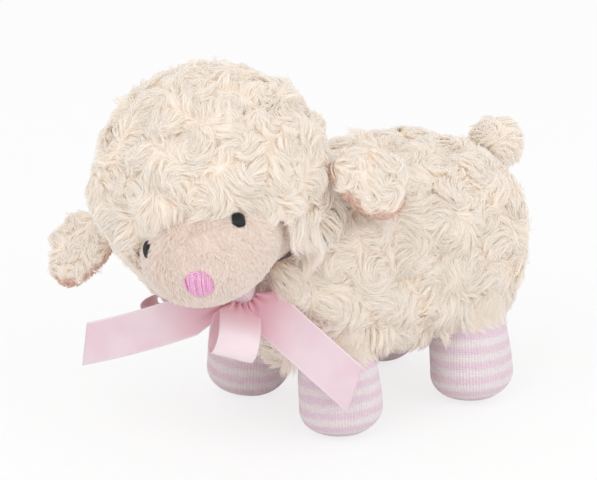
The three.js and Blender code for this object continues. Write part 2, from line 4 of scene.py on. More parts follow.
import bmesh
import bpy
import numpy as np
from mathutils import Matrix, Vector
from mathutils.bvhtree import BVHTree
from mathutils.kdtree import KDTree

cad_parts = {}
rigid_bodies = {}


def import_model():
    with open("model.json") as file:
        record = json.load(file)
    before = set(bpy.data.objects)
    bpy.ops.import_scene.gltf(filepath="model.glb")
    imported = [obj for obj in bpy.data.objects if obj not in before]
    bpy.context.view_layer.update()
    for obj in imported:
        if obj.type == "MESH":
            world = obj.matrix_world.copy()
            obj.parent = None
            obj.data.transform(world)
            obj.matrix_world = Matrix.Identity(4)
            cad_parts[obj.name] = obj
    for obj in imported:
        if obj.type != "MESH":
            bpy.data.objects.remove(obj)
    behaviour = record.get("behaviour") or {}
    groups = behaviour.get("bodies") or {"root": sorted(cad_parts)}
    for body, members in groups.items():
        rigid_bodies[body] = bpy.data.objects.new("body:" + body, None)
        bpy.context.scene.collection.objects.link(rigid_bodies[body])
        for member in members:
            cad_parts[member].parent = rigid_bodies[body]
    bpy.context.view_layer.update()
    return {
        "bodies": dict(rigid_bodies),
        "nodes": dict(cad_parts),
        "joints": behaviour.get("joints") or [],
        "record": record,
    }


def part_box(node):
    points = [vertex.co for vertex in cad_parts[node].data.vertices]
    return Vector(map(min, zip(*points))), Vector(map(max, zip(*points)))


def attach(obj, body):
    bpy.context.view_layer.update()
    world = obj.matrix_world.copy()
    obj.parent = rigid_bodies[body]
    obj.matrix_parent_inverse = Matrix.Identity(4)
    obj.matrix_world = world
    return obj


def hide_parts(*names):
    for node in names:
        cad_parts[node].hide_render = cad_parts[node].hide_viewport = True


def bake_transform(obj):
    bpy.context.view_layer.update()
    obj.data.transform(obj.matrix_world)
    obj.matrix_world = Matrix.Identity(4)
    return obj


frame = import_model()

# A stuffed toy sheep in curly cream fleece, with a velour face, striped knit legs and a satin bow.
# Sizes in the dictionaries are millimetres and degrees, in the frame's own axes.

mm = 0.001
joints = {joint["name"]: joint for joint in frame["joints"]}


# Camera

cameraPlan = dict(
    azimuth=52.3, elevation=19.0, distance=3000,
    aim=(4.9, -11.8, 78.6),  # the point in the middle of the picture
    lens=416.1, clipEnd=10,
)


def placeAimed(name, data, plan):
    # a camera or a lamp that looks at its aim from its side and height
    turn, rise = math.radians(plan["azimuth"]), math.radians(plan["elevation"])
    back = Vector((math.sin(turn) * math.cos(rise), -math.cos(turn) * math.cos(rise), math.sin(rise)))
    holder = bpy.data.objects.new(name, data)
    holder.location = (Vector(plan["aim"]) + back * plan["distance"]) * mm
    holder.rotation_mode = "QUATERNION"
    holder.rotation_quaternion = (-back).to_track_quat("-Z", "Y")
    bpy.context.scene.collection.objects.link(holder)
    return holder


camera = placeAimed("camera", bpy.data.cameras.new("camera"), cameraPlan)
camera.data.lens = cameraPlan["lens"]
camera.data.clip_end = cameraPlan["clipEnd"]
bpy.context.scene.camera = camera
print("camera placed")


# Material helpers

def linear(code):
    channels = [int(code[i : i + 2], 16) / 255 for i in (1, 3, 5)]
    return [c / 12.92 if c <= 0.04045 else ((c + 0.055) / 1.055) ** 2.4 for c in channels] + [1.0]


def addNode(tree, kind, settings=None, links=None):
    # settings are properties by name or inputs by name or number, and links are inputs likewise
    node = tree.nodes.new(kind)
    for name, value in (settings or {}).items():
        if isinstance(name, str) and hasattr(node, name):
            setattr(node, name, value)
        else:
            node.inputs[name].default_value = value
    for name, source in (links or {}).items():
        tree.links.new(source, node.inputs[name])
    return node


def setRamp(ramp, stops):
    # stops are places from 0 to 1 with their hex colours
    elements = ramp.color_ramp.elements
    while len(elements) < len(stops):
        elements.new(0.5)
    for element, (place, code) in zip(elements, stops):
        element.position = place
        element.color = linear(code)


def newMaterial(name):
    material = bpy.data.materials.new(name)
    material.use_nodes = True
    material.node_tree.nodes.clear()
    return material, material.node_tree


def mottled(tree, spot, size, detail, stops):
    # colours in soft patches of a size in millimetres
    noise = addNode(
        tree, "ShaderNodeTexNoise", {"Scale": 1 / (size * mm), "Detail": detail}, {"Vector": spot}
    )
    ramp = addNode(tree, "ShaderNodeValToRGB", links={0: noise.outputs[0]})
    setRamp(ramp, stops)
    return ramp.outputs[0]


def finishCloth(material, tree, settings, links, glow=0, through=()):
    # the cloth's shader, which lets light through by its glow
    shader = addNode(tree, "ShaderNodeBsdfPrincipled", settings, links)
    if glow:
        behind = addNode(tree, "ShaderNodeBsdfTranslucent", *through)
        shader = addNode(
            tree, "ShaderNodeMixShader", {"Fac": glow}, {1: shader.outputs[0], 2: behind.outputs[0]}
        )
    addNode(tree, "ShaderNodeOutputMaterial", links={"Surface": shader.outputs[0]})
    return material


# Mesh helpers

def readRows(data, name, width=3):
    values = np.empty(len(data) * width, np.float32)
    data.foreach_get(name, values)
    return values.reshape(-1, width).astype(np.float64)


def unit(rows):
    return rows / np.maximum(np.linalg.norm(rows, axis=-1, keepdims=True), 1e-12)


def addPiece(name, mesh, material, body, replaced=()):
    piece = bpy.data.objects.new(name, mesh)
    bpy.context.scene.collection.objects.link(piece)
    mesh.materials.append(material)
    if isinstance(body, dict):
        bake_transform(piece)
    else:
        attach(piece, body)
    if replaced:
        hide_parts(*replaced)
    return piece


def ballGrid(steps):
    # a cube of steps by steps squares a side, blown up to a unit ball
    grid = bmesh.new()
    bmesh.ops.create_cube(grid, size=2)
    bmesh.ops.subdivide_edges(grid, edges=grid.edges[:], cuts=steps - 1, use_grid_fill=True)
    for vert in grid.verts:
        vert.co = Vector([math.tan(c * math.pi / 4) for c in vert.co]).normalized()
    return grid


def stuffedPlace(direction, half, fullness, swell):
    # a ball swollen towards a box by its fullness across and along y, and wider at +y by its swell
    girth, length = fullness
    across = abs(direction.x) ** girth + abs(direction.z) ** girth
    share = (across ** (length / girth) + abs(direction.y) ** length) ** (1 / length)
    place = direction / share
    return Vector((place.x * (1 + swell * place.y) * half.x, place.y * half.y, place.z * half.z))


def cutAway(grid, place, direction, keepBoth=False):
    # what lies beyond the plane goes, or is only parted from the rest by new edges
    everything = grid.verts[:] + grid.edges[:] + grid.faces[:]
    bmesh.ops.bisect_plane(
        grid, geom=everything, plane_co=place, plane_no=direction, clear_outer=not keepBoth
    )


def dropFaces(grid, unwanted):
    faces = [face for face in grid.faces if unwanted(face.calc_center_median())]
    bmesh.ops.delete(grid, geom=faces, context="FACES")


def meshOf(grid, name):
    bmesh.ops.recalc_face_normals(grid, faces=grid.faces[:])
    middle = sum((face.calc_center_median() for face in grid.faces), Vector()) / len(grid.faces)
    if sum((face.calc_center_median() - middle).dot(face.normal) for face in grid.faces) < 0:
        bmesh.ops.reverse_faces(grid, faces=grid.faces[:])
    mesh = bpy.data.meshes.new(name)
    grid.to_mesh(mesh)
    grid.free()
    mesh.shade_smooth()
    return mesh


def thicken(piece, thickness, offset=-1):
    # inwards from the skin, or to both sides of it where the offset is 0
    shell = piece.modifiers.new("cloth", "SOLIDIFY")
    shell.thickness = thickness * mm
    shell.offset = offset


# Frames, outlines and rows of places

def frameAt(origin, xAxis, zAxis):
    # a frame from its origin and its x and z directions, made square to each other
    z = zAxis.normalized()
    y = z.cross(xAxis).normalized()
    return Matrix.Translation(origin) @ Matrix((y.cross(z), y, z)).transposed().to_4x4()


def inFrame(frame, rows):
    # rows of millimetres in a frame, as metres in the sheep's own frame
    turn = np.array(frame.to_3x3())
    return (np.asarray(rows) * mm) @ turn.T + np.array(frame.translation)


def arc(centre, radii, start, end, steps):
    angle = np.radians(np.linspace(start, end, steps))
    return np.stack([centre[0] + radii[0] * np.cos(angle), centre[1] + radii[1] * np.sin(angle)], 1)


def bezier(controls, steps):
    share = np.linspace(0, 1, steps)[:, None]
    points = [np.array(c, float)[None] * np.ones_like(share) for c in controls]
    while len(points) > 1:
        points = [a * (1 - share) + b * share for a, b in zip(points, points[1:])]
    return points[0]


def evenly(points, count):
    # the same line with its points evenly apart, and their distances from its start
    gone = np.concatenate([[0], np.cumsum(np.linalg.norm(np.diff(points, axis=0), axis=1))])
    spots = np.linspace(0, gone[-1], count)
    return np.stack([np.interp(spots, gone, points[:, i]) for i in range(points.shape[1])], 1), spots


def squares(index):
    # the four corners of each square between rows of numbered points
    corners = [index[:-1, :-1], index[:-1, 1:], index[1:, 1:], index[1:, :-1]]
    return np.stack(corners, -1).reshape(-1, 4).tolist()


def gridMesh(name, places, closed=False, capped=False):
    # squares through rows of places, mapped from 0 to 1 round and along
    rows, columns = places.shape[:2]
    index = np.arange(rows * columns).reshape(rows, columns)
    if closed:
        index = np.concatenate([index, index[:, :1]], 1)
    mesh = bpy.data.meshes.new(name)
    caps = [index[0, :-1][::-1].tolist()] if capped else []
    mesh.from_pydata(places.reshape(-1, 3).tolist(), [], squares(index) + caps)
    u, v = np.meshgrid(np.linspace(0, 1, index.shape[1]), np.linspace(0, 1, rows))
    spots = np.stack([u, v], -1)
    corners = [spots[:-1, :-1], spots[:-1, 1:], spots[1:, 1:], spots[1:, :-1]]
    spots = np.stack(corners, 2).reshape(-1, 2)
    if capped:
        start = [0.5, 0.004]  # one spot in the first round, for all of the cap
        spots = np.concatenate([spots, np.tile(start, (len(caps[0]), 1))])
    mesh.uv_layers.new(name="OFBake").uv.foreach_set("vector", spots.astype(np.float32).ravel())
    mesh.shade_smooth()
    return mesh


def turnedRows(outline, around):
    # an outline turned about its z axis
    angle = np.linspace(0, 2 * math.pi, around, endpoint=False)
    return np.stack(
        [outline[:, :1] * np.cos(angle), outline[:, :1] * np.sin(angle), outline[:, 1:] + 0 * angle], -1
    )


def threadMesh(name, paths, radius, sides=8):
    # round threads along their paths, with rounded ends
    places, faces = [], []
    for path in paths:
        along = unit(np.gradient(path, axis=0))
        side = unit(np.cross(along, np.roll(along, 1, axis=1) + 0.3))
        up = np.cross(along, side)
        swell = np.sqrt(np.clip(1 - np.linspace(-1, 1, len(path)) ** 8, 0.05, 1))[:, None, None]
        angle = np.linspace(0, 2 * math.pi, sides, endpoint=False)[None, :, None]
        outwards = np.cos(angle) * side[:, None] + np.sin(angle) * up[:, None]
        ring = path[:, None] + radius * swell * outwards
        start = len(places) * len(path) * sides
        index = start + np.arange(len(path) * sides).reshape(len(path), sides)
        index = np.concatenate([index, index[:, :1]], 1)
        faces += squares(index) + [index[0, :-1][::-1].tolist(), index[-1, :-1].tolist()]
        places.append(ring.reshape(-1, 3))
    mesh = bpy.data.meshes.new(name)
    mesh.from_pydata(np.concatenate(places).tolist(), [], faces)
    mesh.shade_smooth()
    return mesh


# Pile: strands of mesh that grow from a skin and lie in whorls

def surfaceSamples(mesh, density, rng):
    # random places on a surface, with its smooth normal at each
    mesh.calc_loop_triangles()
    corners = np.empty(len(mesh.loop_triangles) * 3, np.int32)
    mesh.loop_triangles.foreach_get("vertices", corners)
    corners = corners.reshape(-1, 3)
    places, normals = readRows(mesh.vertices, "co"), readRows(mesh.vertices, "normal")
    a, b, c = (places[corners[:, i]] for i in range(3))
    area = np.linalg.norm(np.cross(b - a, c - a), axis=1) / 2
    count = int(area.sum() / mm**2 * density)
    pick = rng.choice(len(area), count, p=area / area.sum())
    share = rng.dirichlet((1, 1, 1), count)[:, :, None]
    root = (places[corners[pick]] * share).sum(1)
    normal = unit((normals[corners[pick]] * share).sum(1))
    return root, normal


def treeOf(places):
    tree = KDTree(len(places))
    for i, place in enumerate(places):
        tree.insert(place, i)
    tree.balance()
    return tree


def makeWhorls(places, plan, rng):
    # centres of curls, no nearer each other than the spacing, each turning one way or the other
    centres = []
    for place in places:
        if all(np.sum((place - c) ** 2) > (plan["spacing"] * mm) ** 2 for c in centres):
            centres.append(place)
    centres = np.array(centres)
    turn = np.radians(rng.uniform(*plan["spiral"], len(centres))) * rng.choice((-1, 1), len(centres))
    return dict(places=centres, tree=treeOf(centres), turn=turn)


def flowAt(places, normals, whorls, plan, pull):
    # the way the pile leans: in towards the nearest curls' centres and round them
    found = [[hit[1] for hit in whorls["tree"].find_n(place, 3)] for place in places]
    near = np.array(found)
    offset = whorls["places"][near] - places[:, None]
    offset -= normals[:, None] * (offset * normals[:, None]).sum(-1, keepdims=True)
    distance = np.linalg.norm(offset, axis=-1, keepdims=True)
    inward = offset / np.maximum(distance, 1e-9)
    around = np.cross(normals[:, None], inward)
    turn = whorls["turn"][near][:, :, None]
    weight = (distance / mm + plan["softness"]) ** -4
    lean = ((np.cos(turn) * inward + np.sin(turn) * around) * weight).sum(1)
    lean = unit(lean) + np.array(plan["comb"])
    if pull:
        lean = lean + pull(places)
    lean -= normals * (lean * normals).sum(-1, keepdims=True)
    return unit(lean)


def lumpy(mesh, plan):
    # soft swells of the ground, so that the coat is never one even ball
    places, normals = readRows(mesh.vertices, "co"), readRows(mesh.vertices, "normal")
    chance, count = np.random.default_rng(plan["lumpSeed"]), plan["lumpWaves"]
    waves = unit(chance.normal(0, 1, (count, 3))) * 2 * math.pi / (plan["lumpWidth"] * mm)
    swell = np.sin(places @ waves.T + chance.uniform(0, 2 * math.pi, count)).sum(1)
    swell /= math.sqrt(count / 2)
    places += normals * (np.clip(swell, -1.4, 1.4) * plan["lumpHeight"] * mm)[:, None]
    mesh.vertices.foreach_set("co", places.astype(np.float32).ravel())
    mesh.update()


def whorlFlow(whorls, plan, pull=None):
    return lambda places, normals: flowAt(places, normals, whorls, plan, pull)


def turned(rows, axes, angles):
    # rows turned about unit axes
    cosine, sine = np.cos(angles)[:, None], np.sin(angles)[:, None]
    return rows * cosine + np.cross(axes, rows) * sine


def combed(direction, sway, rng, swayWidth=9):
    # a lie that follows one direction and sways from it by some degrees, over some millimetres
    waves = rng.normal(0, 1, (4, 3)) / (swayWidth * mm)
    turns = rng.uniform(0, 2 * math.pi, 4)

    def flow(places, normals):
        lean = direction(places)
        lean = unit(lean - normals * (lean * normals).sum(-1, keepdims=True))
        angle = np.sin(places @ waves.T + turns).sum(1) * math.radians(sway)
        return turned(lean, normals, angle)

    return flow


stitchPads = {}  # frame and half sizes of each pad of stitches, filled in with the head


def nearStitches(places, room):
    near = np.zeros(len(places), bool)
    for frame, half in stitchPads.values():
        local = (places - np.array(frame.translation)) @ np.array(frame.to_3x3()) / mm
        share = (local[:, 0] / (half[0] + room)) ** 2 + (local[:, 1] / (half[1] + room)) ** 2
        near |= (share < 1) & (np.abs(local[:, 2]) < 12)
    return near


def growPile(name, roots, normals, flow, plan, rng):
    # locks follow guides, and each strand follows its lock's guide more closely towards its tip
    count = len(roots)
    guides = rng.choice(count, max(count // plan["perLock"], 1), replace=False)
    guideRoot, guideNormal = roots[guides], normals[guides]
    segment = plan["length"] * mm / len(plan["lifts"])
    stray = rng.normal(0, math.radians(plan["stray"]), len(guides))
    path = [guideRoot]
    for lift in plan["lifts"]:
        lean = turned(flow(path[-1], guideNormal), guideNormal, stray)
        rise = np.radians(lift + rng.normal(0, plan["liftSpread"], len(guides)))[:, None]
        path.append(path[-1] + segment * (np.cos(rise) * lean + np.sin(rise) * guideNormal))
    path = np.stack(path, 1)
    tree = treeOf(guideRoot)
    lock = np.array([tree.find(root)[1] for root in roots])
    steps = len(plan["lifts"])
    along = np.linspace(0, 1, steps + 1)[None, :, None]
    offset = (roots - guideRoot[lock])[:, None]
    reach = rng.uniform(*plan["lengthShares"], count)[:, None, None]
    wander = rng.normal(0, plan["wander"] * mm, (count, 1, 3))
    strand = (
        guideRoot[lock][:, None]
        + (path[lock] - guideRoot[lock][:, None]) * reach
        + offset * (1 - plan["clump"] * along)
        + wander * along
    )
    if plan.get("clear"):
        strand = plan["clear"](strand)
    kept = ~nearStitches(strand.reshape(-1, 3), plan["room"]).reshape(count, -1).any(1)
    strand, normals, lock, count = strand[kept], normals[kept], lock[kept], int(kept.sum())
    tangent = unit(np.gradient(strand, axis=1))
    side = np.cross(tangent, normals[:, None])
    roll = rng.normal(0, math.radians(plan["roll"]), (count, 1, 1))
    side = unit(side) * np.cos(roll) + np.cross(tangent, unit(side)) * np.sin(roll)
    half = np.array(plan["widths"])[None, :, None] * mm / 2
    left, right = strand[:, :-1] - side[:, :-1] * half, strand[:, :-1] + side[:, :-1] * half
    places = np.concatenate([np.stack([left, right], 2).reshape(count, -1, 3), strand[:, -1:]], 1)
    corners = []
    for k in range(steps - 1):
        corners += [(2 * k, 2 * k + 1, 2 * k + 3), (2 * k, 2 * k + 3, 2 * k + 2)]
    corners.append((2 * steps - 2, 2 * steps - 1, 2 * steps))
    corners = np.array(corners)
    points = 2 * steps + 1
    faces = (corners[None] + np.arange(count)[:, None, None] * points).reshape(-1, 3)
    mesh = bpy.data.meshes.new(name)
    mesh.from_pydata(places.reshape(-1, 3), [], faces)
    lockTone = rng.uniform(0.25, 0.75, len(guides))[lock]
    tone = np.clip(lockTone + rng.normal(0, plan["toneSpread"], count), 0.03, 0.97)
    across = np.tile([-0.01, 0.01], steps).tolist() + [0.0]
    up = np.repeat(np.linspace(0, 1, steps + 1)[:-1], 2).tolist() + [1.0]
    spots = np.empty((count, points, 2), np.float32)
    spots[:, :, 0] = tone[:, None] + np.array(across)
    spots[:, :, 1] = np.clip(np.array(up), 0.02, 0.98)
    layer = mesh.uv_layers.new(name="OFBake")
    layer.uv.foreach_set("vector", spots.reshape(-1, 2)[faces.ravel()].ravel())
    return mesh


mostStrands = 38000  # in one piece
rng = np.random.default_rng(7)


def addPile(name, roots, normals, flow, plan, material, body):
    parts = math.ceil(len(roots) / mostStrands)
    for part in range(parts):
        mesh = growPile(name, roots[part::parts], normals[part::parts], flow, plan, rng)
        addPiece(name if parts == 1 else f"{name}_{part + 1}", mesh, material, body)


# Fleece: polyester plush, a knitted ground with long silky pile set in curls. Each strand is nearly
# white, a little glossy and lets light through, so that the coat glows and turns cream where light
# bounces deep between the curls.

fleece = dict(
    root="#fffcf9", middle="#fffdfa", tip="#fffcfa",
    dark="#fffefc", light="#ffffff",
    roughness=0.6, glow=0.6, gloss=0.2,
)

# Velour: the same fibre cut short and dense, so that it is matt and only streaked by its lie. Its strands
# darken towards their roots, painted shade deep in the nap.
velour = dict(
    root="#f6eee6", middle="#faf5f1", tip="#fcf9f6",
    dark="#fbf8f6", light="#ffffff",
    roughness=0.75, glow=0.4, gloss=0.1,
)

# The ears' lining is the same velour in a darker tan.
liningVelour = dict(
    root="#e9d9cd", middle="#efe2d9", tip="#f4e9e2",
    dark="#f8e4dc", light="#fff6f1",
    roughness=0.75, glow=0.3, gloss=0.1,
)


def makePileMaterial(name, plan):
    material, tree = newMaterial(name)
    spot = addNode(tree, "ShaderNodeUVMap", {"uv_map": "OFBake"})
    split = addNode(tree, "ShaderNodeSeparateXYZ", links={0: spot.outputs[0]})
    # painted shade: each strand is darker at its root than at its tip, most in the velours and hardly in
    # the fleece
    alongRamp = addNode(tree, "ShaderNodeValToRGB", links={0: split.outputs["Y"]})
    setRamp(alongRamp, [(0.0, plan["root"]), (0.45, plan["middle"]), (1.0, plan["tip"])])
    toneRamp = addNode(tree, "ShaderNodeValToRGB", links={0: split.outputs["X"]})
    setRamp(toneRamp, [(0.15, plan["dark"]), (0.85, plan["light"])])
    colour = addNode(
        tree, "ShaderNodeMix", {"data_type": "RGBA", "blend_type": "MULTIPLY", 0: 1.0},
        {6: alongRamp.outputs[0], 7: toneRamp.outputs[0]},
    )
    return finishCloth(
        material, tree, {"Roughness": plan["roughness"], "Specular IOR Level": plan["gloss"]},
        {"Base Color": colour.outputs[2]}, plan["glow"], ({}, {"Color": colour.outputs[2]}),
    )


# Ground: the knitted cloth that pile stands in, matt, with its loops showing where the pile parts. Each
# ground is darker than the tips of its pile, painted shade where it shows between the strands.
def makeGroundMaterial(name, code, paler, loop=1.1):
    # loop is the width of one loop in millimetres
    material, tree = newMaterial(name)
    spot = addNode(tree, "ShaderNodeTexCoord").outputs["Object"]
    colour = mottled(tree, spot, 4, 3, [(0.3, code), (0.7, paler)])
    loops = addNode(tree, "ShaderNodeTexVoronoi", {"Scale": 1 / (loop * mm)}, {"Vector": spot})
    bump = addNode(
        tree, "ShaderNodeBump", {"Strength": 0.5, "Distance": 0.3 * mm},
        {"Height": loops.outputs["Distance"]},
    )
    return finishCloth(
        material, tree, {"Roughness": 0.85, "Sheen Weight": 0.2},
        {"Base Color": colour, "Normal": bump.outputs[0]},
    )


# Knit: fine cotton and polyester rib, dyed in rounds of pink and white that are heathered, so that
# the edges of the stripes are soft. The ribs themselves are in the mesh.
knit = dict(
    pink="#ead5e0", pinkDeep="#e0c7d4", white="#efe6e9", whiteDeep="#e3d9dc",
    stripe=6.7, softness=0.6, ragged=1.5, fleck=1.3, heather=0.8,
    ribs=82, ribHeight=0.2, stitch=1.1, roughness=0.82,
)


def makeKnitMaterial(name, plan, length):
    material, tree = newMaterial(name)
    spot = addNode(tree, "ShaderNodeUVMap", {"uv_map": "OFBake"})
    along = addNode(tree, "ShaderNodeSeparateXYZ", links={0: spot.outputs[0]}).outputs["Y"]
    place = addNode(tree, "ShaderNodeTexCoord").outputs["Object"]
    fleck = addNode(
        tree, "ShaderNodeTexNoise", {"Scale": 1 / (plan["fleck"] * mm), "Detail": 2}, {"Vector": place}
    )
    ragged = addNode(
        tree, "ShaderNodeMath", {"operation": "MULTIPLY", 1: plan["ragged"]}, {0: fleck.outputs[0]}
    )
    rounds = addNode(
        tree, "ShaderNodeMath", {"operation": "MULTIPLY_ADD", 1: 2 * math.pi * length / plan["stripe"]},
        {0: along, 2: ragged.outputs[0]},
    )
    wave = addNode(tree, "ShaderNodeMath", {"operation": "SINE"}, {0: rounds.outputs[0]})
    stripe = addNode(
        tree, "ShaderNodeMapRange", {"From Min": -plan["softness"], "From Max": plan["softness"]},
        {"Value": wave.outputs[0]},
    )
    colour = addNode(tree, "ShaderNodeMix", {"data_type": "RGBA"}, {
        0: stripe.outputs[0],
        6: mottled(tree, place, plan["heather"], 4, [(0.3, plan["pinkDeep"]), (0.65, plan["pink"])]),
        7: mottled(tree, place, plan["heather"], 4, [(0.3, plan["whiteDeep"]), (0.65, plan["white"])]),
    })
    stitches = addNode(
        tree, "ShaderNodeMath", {"operation": "MULTIPLY", 1: 2 * math.pi * length / plan["stitch"]},
        {0: along},
    )
    stitchWave = addNode(tree, "ShaderNodeMath", {"operation": "SINE"}, {0: stitches.outputs[0]})
    bump = addNode(
        tree, "ShaderNodeBump", {"Strength": 0.6, "Distance": 0.12 * mm},
        {"Height": stitchWave.outputs[0]},
    )
    return finishCloth(
        material, tree, {"Roughness": plan["roughness"], "Sheen Weight": 0.35, "Sheen Roughness": 0.5},
        {"Base Color": colour.outputs[2], "Normal": bump.outputs[0]},
    )


# Satin: polyester ribbon woven with long floats across, smooth and softly glossy, with a denser
# selvedge along both edges.
satin = dict(
    # gathered is the deeper pink near the knot, painted shade
    pink="#f1e0e7", deep="#edd5df", gathered="#f2b8c8", pale="#f7ebf0", through="#f9c9d5",
    roughness=0.34, sheen=14, selvedge=0.5, glow=0.14,
    weft=2.83,  # bands of floats, far coarser than the threads, which are too fine to show
)


def fromMiddle(tree, share):
    offset = addNode(tree, "ShaderNodeMath", {"operation": "SUBTRACT", 1: 0.5}, {0: share})
    return addNode(tree, "ShaderNodeMath", {"operation": "ABSOLUTE"}, {0: offset.outputs[0]}).outputs[0]


def makeSatinMaterial(name, plan, width=None, ends=1):
    # a ribbon with its edges showing has a width, and one or two ends that are gathered into the knot,
    # where its pink is painted in shade
    material, tree = newMaterial(name)
    place = addNode(tree, "ShaderNodeTexCoord").outputs["Object"]
    # painted sheen: the pink is mottled deeper in broad patches of the sheen's size
    colour = mottled(tree, place, plan["sheen"], 2, [(0.35, plan["deep"]), (0.65, plan["pink"])])
    if width:
        spot = addNode(tree, "ShaderNodeUVMap", {"uv_map": "OFBake"})
        split = addNode(tree, "ShaderNodeSeparateXYZ", links={0: spot.outputs[0]})
        along, reach = split.outputs["Y"], (0.0, 0.45)
        if ends == 2:
            along, reach = fromMiddle(tree, along), (0.5, 0.2)
        # painted shade: towards the knot the pink deepens to the knot shade, and away from it the ribbon
        # is paler
        fade = addNode(
            tree, "ShaderNodeMapRange", {"From Min": reach[0], "From Max": reach[1]}, {"Value": along}
        )
        shadedNearKnot = addNode(
            tree, "ShaderNodeMix", {"data_type": "RGBA", 6: linear(plan["gathered"])},
            {0: fade.outputs[0], 7: colour},
        )
        edge = addNode(
            tree, "ShaderNodeMapRange", {
                "From Min": 0.5 - 1.6 * plan["selvedge"] / width,
                "From Max": 0.5 - 0.8 * plan["selvedge"] / width,
            }, {"Value": fromMiddle(tree, split.outputs["X"])},
        )
        paler = addNode(
            tree, "ShaderNodeMix", {"data_type": "RGBA", 7: linear(plan["pale"])},
            {0: edge.outputs[0], 6: shadedNearKnot.outputs[2]},
        )
        colour = paler.outputs[2]
    bands = 2 * math.pi / (plan["weft"] * mm) / 20  # its waves turn by twenty radians in a unit
    weft = addNode(tree, "ShaderNodeTexWave", {"Scale": bands}, {"Vector": place})
    bump = addNode(
        tree, "ShaderNodeBump", {"Strength": 0.08, "Distance": 0.1 * mm}, {"Height": weft.outputs[0]}
    )
    settings = {
        "Roughness": plan["roughness"], "Specular IOR Level": 0.55,
        "Sheen Weight": 0.25, "Anisotropic": 0.5,
    }
    return finishCloth(
        material, tree, settings, {"Base Color": colour, "Normal": bump.outputs[0]},
        plan["glow"], ({"Color": linear(plan["through"])},),
    )


# Embroidery thread: trilobal polyester, laid side by side in satin stitch, with a fine twist. Its colour
# is mottled dark and light in half-millimetre spots, painted sheen of the glossy twisted fibre.
def makeThreadMaterial(name, dark, light, roughness):
    material, tree = newMaterial(name)
    place = addNode(tree, "ShaderNodeTexCoord").outputs["Object"]
    # painted sheen: dark and light spots along the threads
    colour = mottled(tree, place, 0.5, 3, [(0.35, dark), (0.65, light)])
    settings = {"Roughness": roughness, "Specular IOR Level": 0.5}
    return finishCloth(material, tree, settings, {"Base Color": colour})


fleecePile = makePileMaterial("polyester plush pile", fleece)
velourPile = makePileMaterial("polyester velour pile", velour)
liningPile = makePileMaterial("tan velour pile", liningVelour)
# the grounds' colours are painted shade, darker than the pile above them
fleeceGround = makeGroundMaterial("knitted plush ground", "#f1e8de", "#f5eee6")
velourGround = makeGroundMaterial("knitted velour ground", "#f9e9de", "#fdf3ec", 0.7)
liningGround = makeGroundMaterial("knitted tan ground", "#ead9cc", "#f0e2d8", 0.7)
# Fill: loose polyester fibre, matt and nearly white, in tufts that are coarser than any loops.
fibreFill = makeGroundMaterial("polyester fibre fill", "#efece6", "#fbfaf7", 2.5)

blackThread = makeThreadMaterial("black embroidery thread", "#08080a", "#1c1c20", 0.35)
pinkThread = makeThreadMaterial("pink embroidery thread", "#dc94c2", "#f7cae2", 0.4)
print("materials made")


# Torso

torso = dict(
    fullness=(3, 3.8), swell=0.03,
    inset=3.0,  # from the outside of the curls to their ground
    panelHalfWidth=11.5, panelTop=45,
    hipOpening=19.5, hipPull=1.8, hipPullReach=7, squares=60,
    clothThickness=1.2, lumpHeight=1.1, lumpWidth=17, lumpWaves=14, lumpSeed=3,
)
covers = ["body_side_left", "body_side_right", "belly_panel"]
torsoLow = Vector([min(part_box(n)[0][i] for n in covers) for i in range(3)])
torsoHigh = Vector([max(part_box(n)[1][i] for n in covers) for i in range(3)])
torsoMiddle, torsoHalf = (torsoLow + torsoHigh) / 2, (torsoHigh - torsoLow) / 2
neckPlace = Vector(joints["head_turn"]["pos_m"])
neckAxis = Vector(joints["head_turn"]["axis"])
legNames = ["leg_front_left", "leg_front_right", "leg_rear_left", "leg_rear_right"]


def torsoGrid(inset):
    grid = ballGrid(torso["squares"])
    half = torsoHalf - Vector((inset, inset, inset)) * mm
    for vert in grid.verts:
        vert.co = torsoMiddle + stuffedPlace(vert.co, half, torso["fullness"], torso["swell"])
    cutAway(grid, neckPlace, neckAxis)
    for leg in legNames:
        hip = Vector(joints[leg + "_swing"]["pos_m"])
        reach = torso["hipOpening"] * mm

        def inOpening(place):
            return place.z < hip.z and (place - hip).xy.length < reach

        dropFaces(grid, inOpening)
    return grid


curls = dict(
    length=10.5, lifts=(34, 4, -15), liftSpread=4, lengthShares=(0.8, 1.15),
    perLock=10, clump=0.15, wander=0.35, stray=7, roll=45,
    widths=(0.46, 0.46, 0.34),
    spacing=14.5, spiral=(20, 60), softness=3, comb=(0, 0.1, -0.25), toneSpread=0.12, density=4.2,
    room=0.8,  # kept clear round the stitches
)


def torsoPanel(wanted):
    grid = torsoGrid(torso["inset"])
    left, top = Vector((1, 0, 0)), Vector((0, 0, 1))
    for side in (0, 1, -1):
        seam = torsoMiddle + left * side * torso["panelHalfWidth"] * mm
        cutAway(grid, seam, left, keepBoth=True)
    cutAway(grid, top * torso["panelTop"] * mm, top, keepBoth=True)

    def panelAt(place):
        inStrip = abs(place.x - torsoMiddle.x) < torso["panelHalfWidth"] * mm
        if inStrip and place.z < torso["panelTop"] * mm:
            return "belly_panel"
        return "body_side_left" if place.x > torsoMiddle.x else "body_side_right"

    dropFaces(grid, lambda place: panelAt(place) != wanted)
    return meshOf(grid, wanted)


def overHips(places):
    # near the legs the pile hangs down over their openings
    pull = np.zeros_like(places)
    for name in legNames:
        offset = (places - np.array(joints[name + "_swing"]["pos_m"])) / mm
        beside = np.maximum(np.linalg.norm(offset[:, :2], axis=1) - torso["hipOpening"], 0)
        above = np.maximum(offset[:, 2], 0)
        pull[:, 2] -= torso["hipPull"] * np.exp(-(beside + above) / torso["hipPullReach"])
    return pull


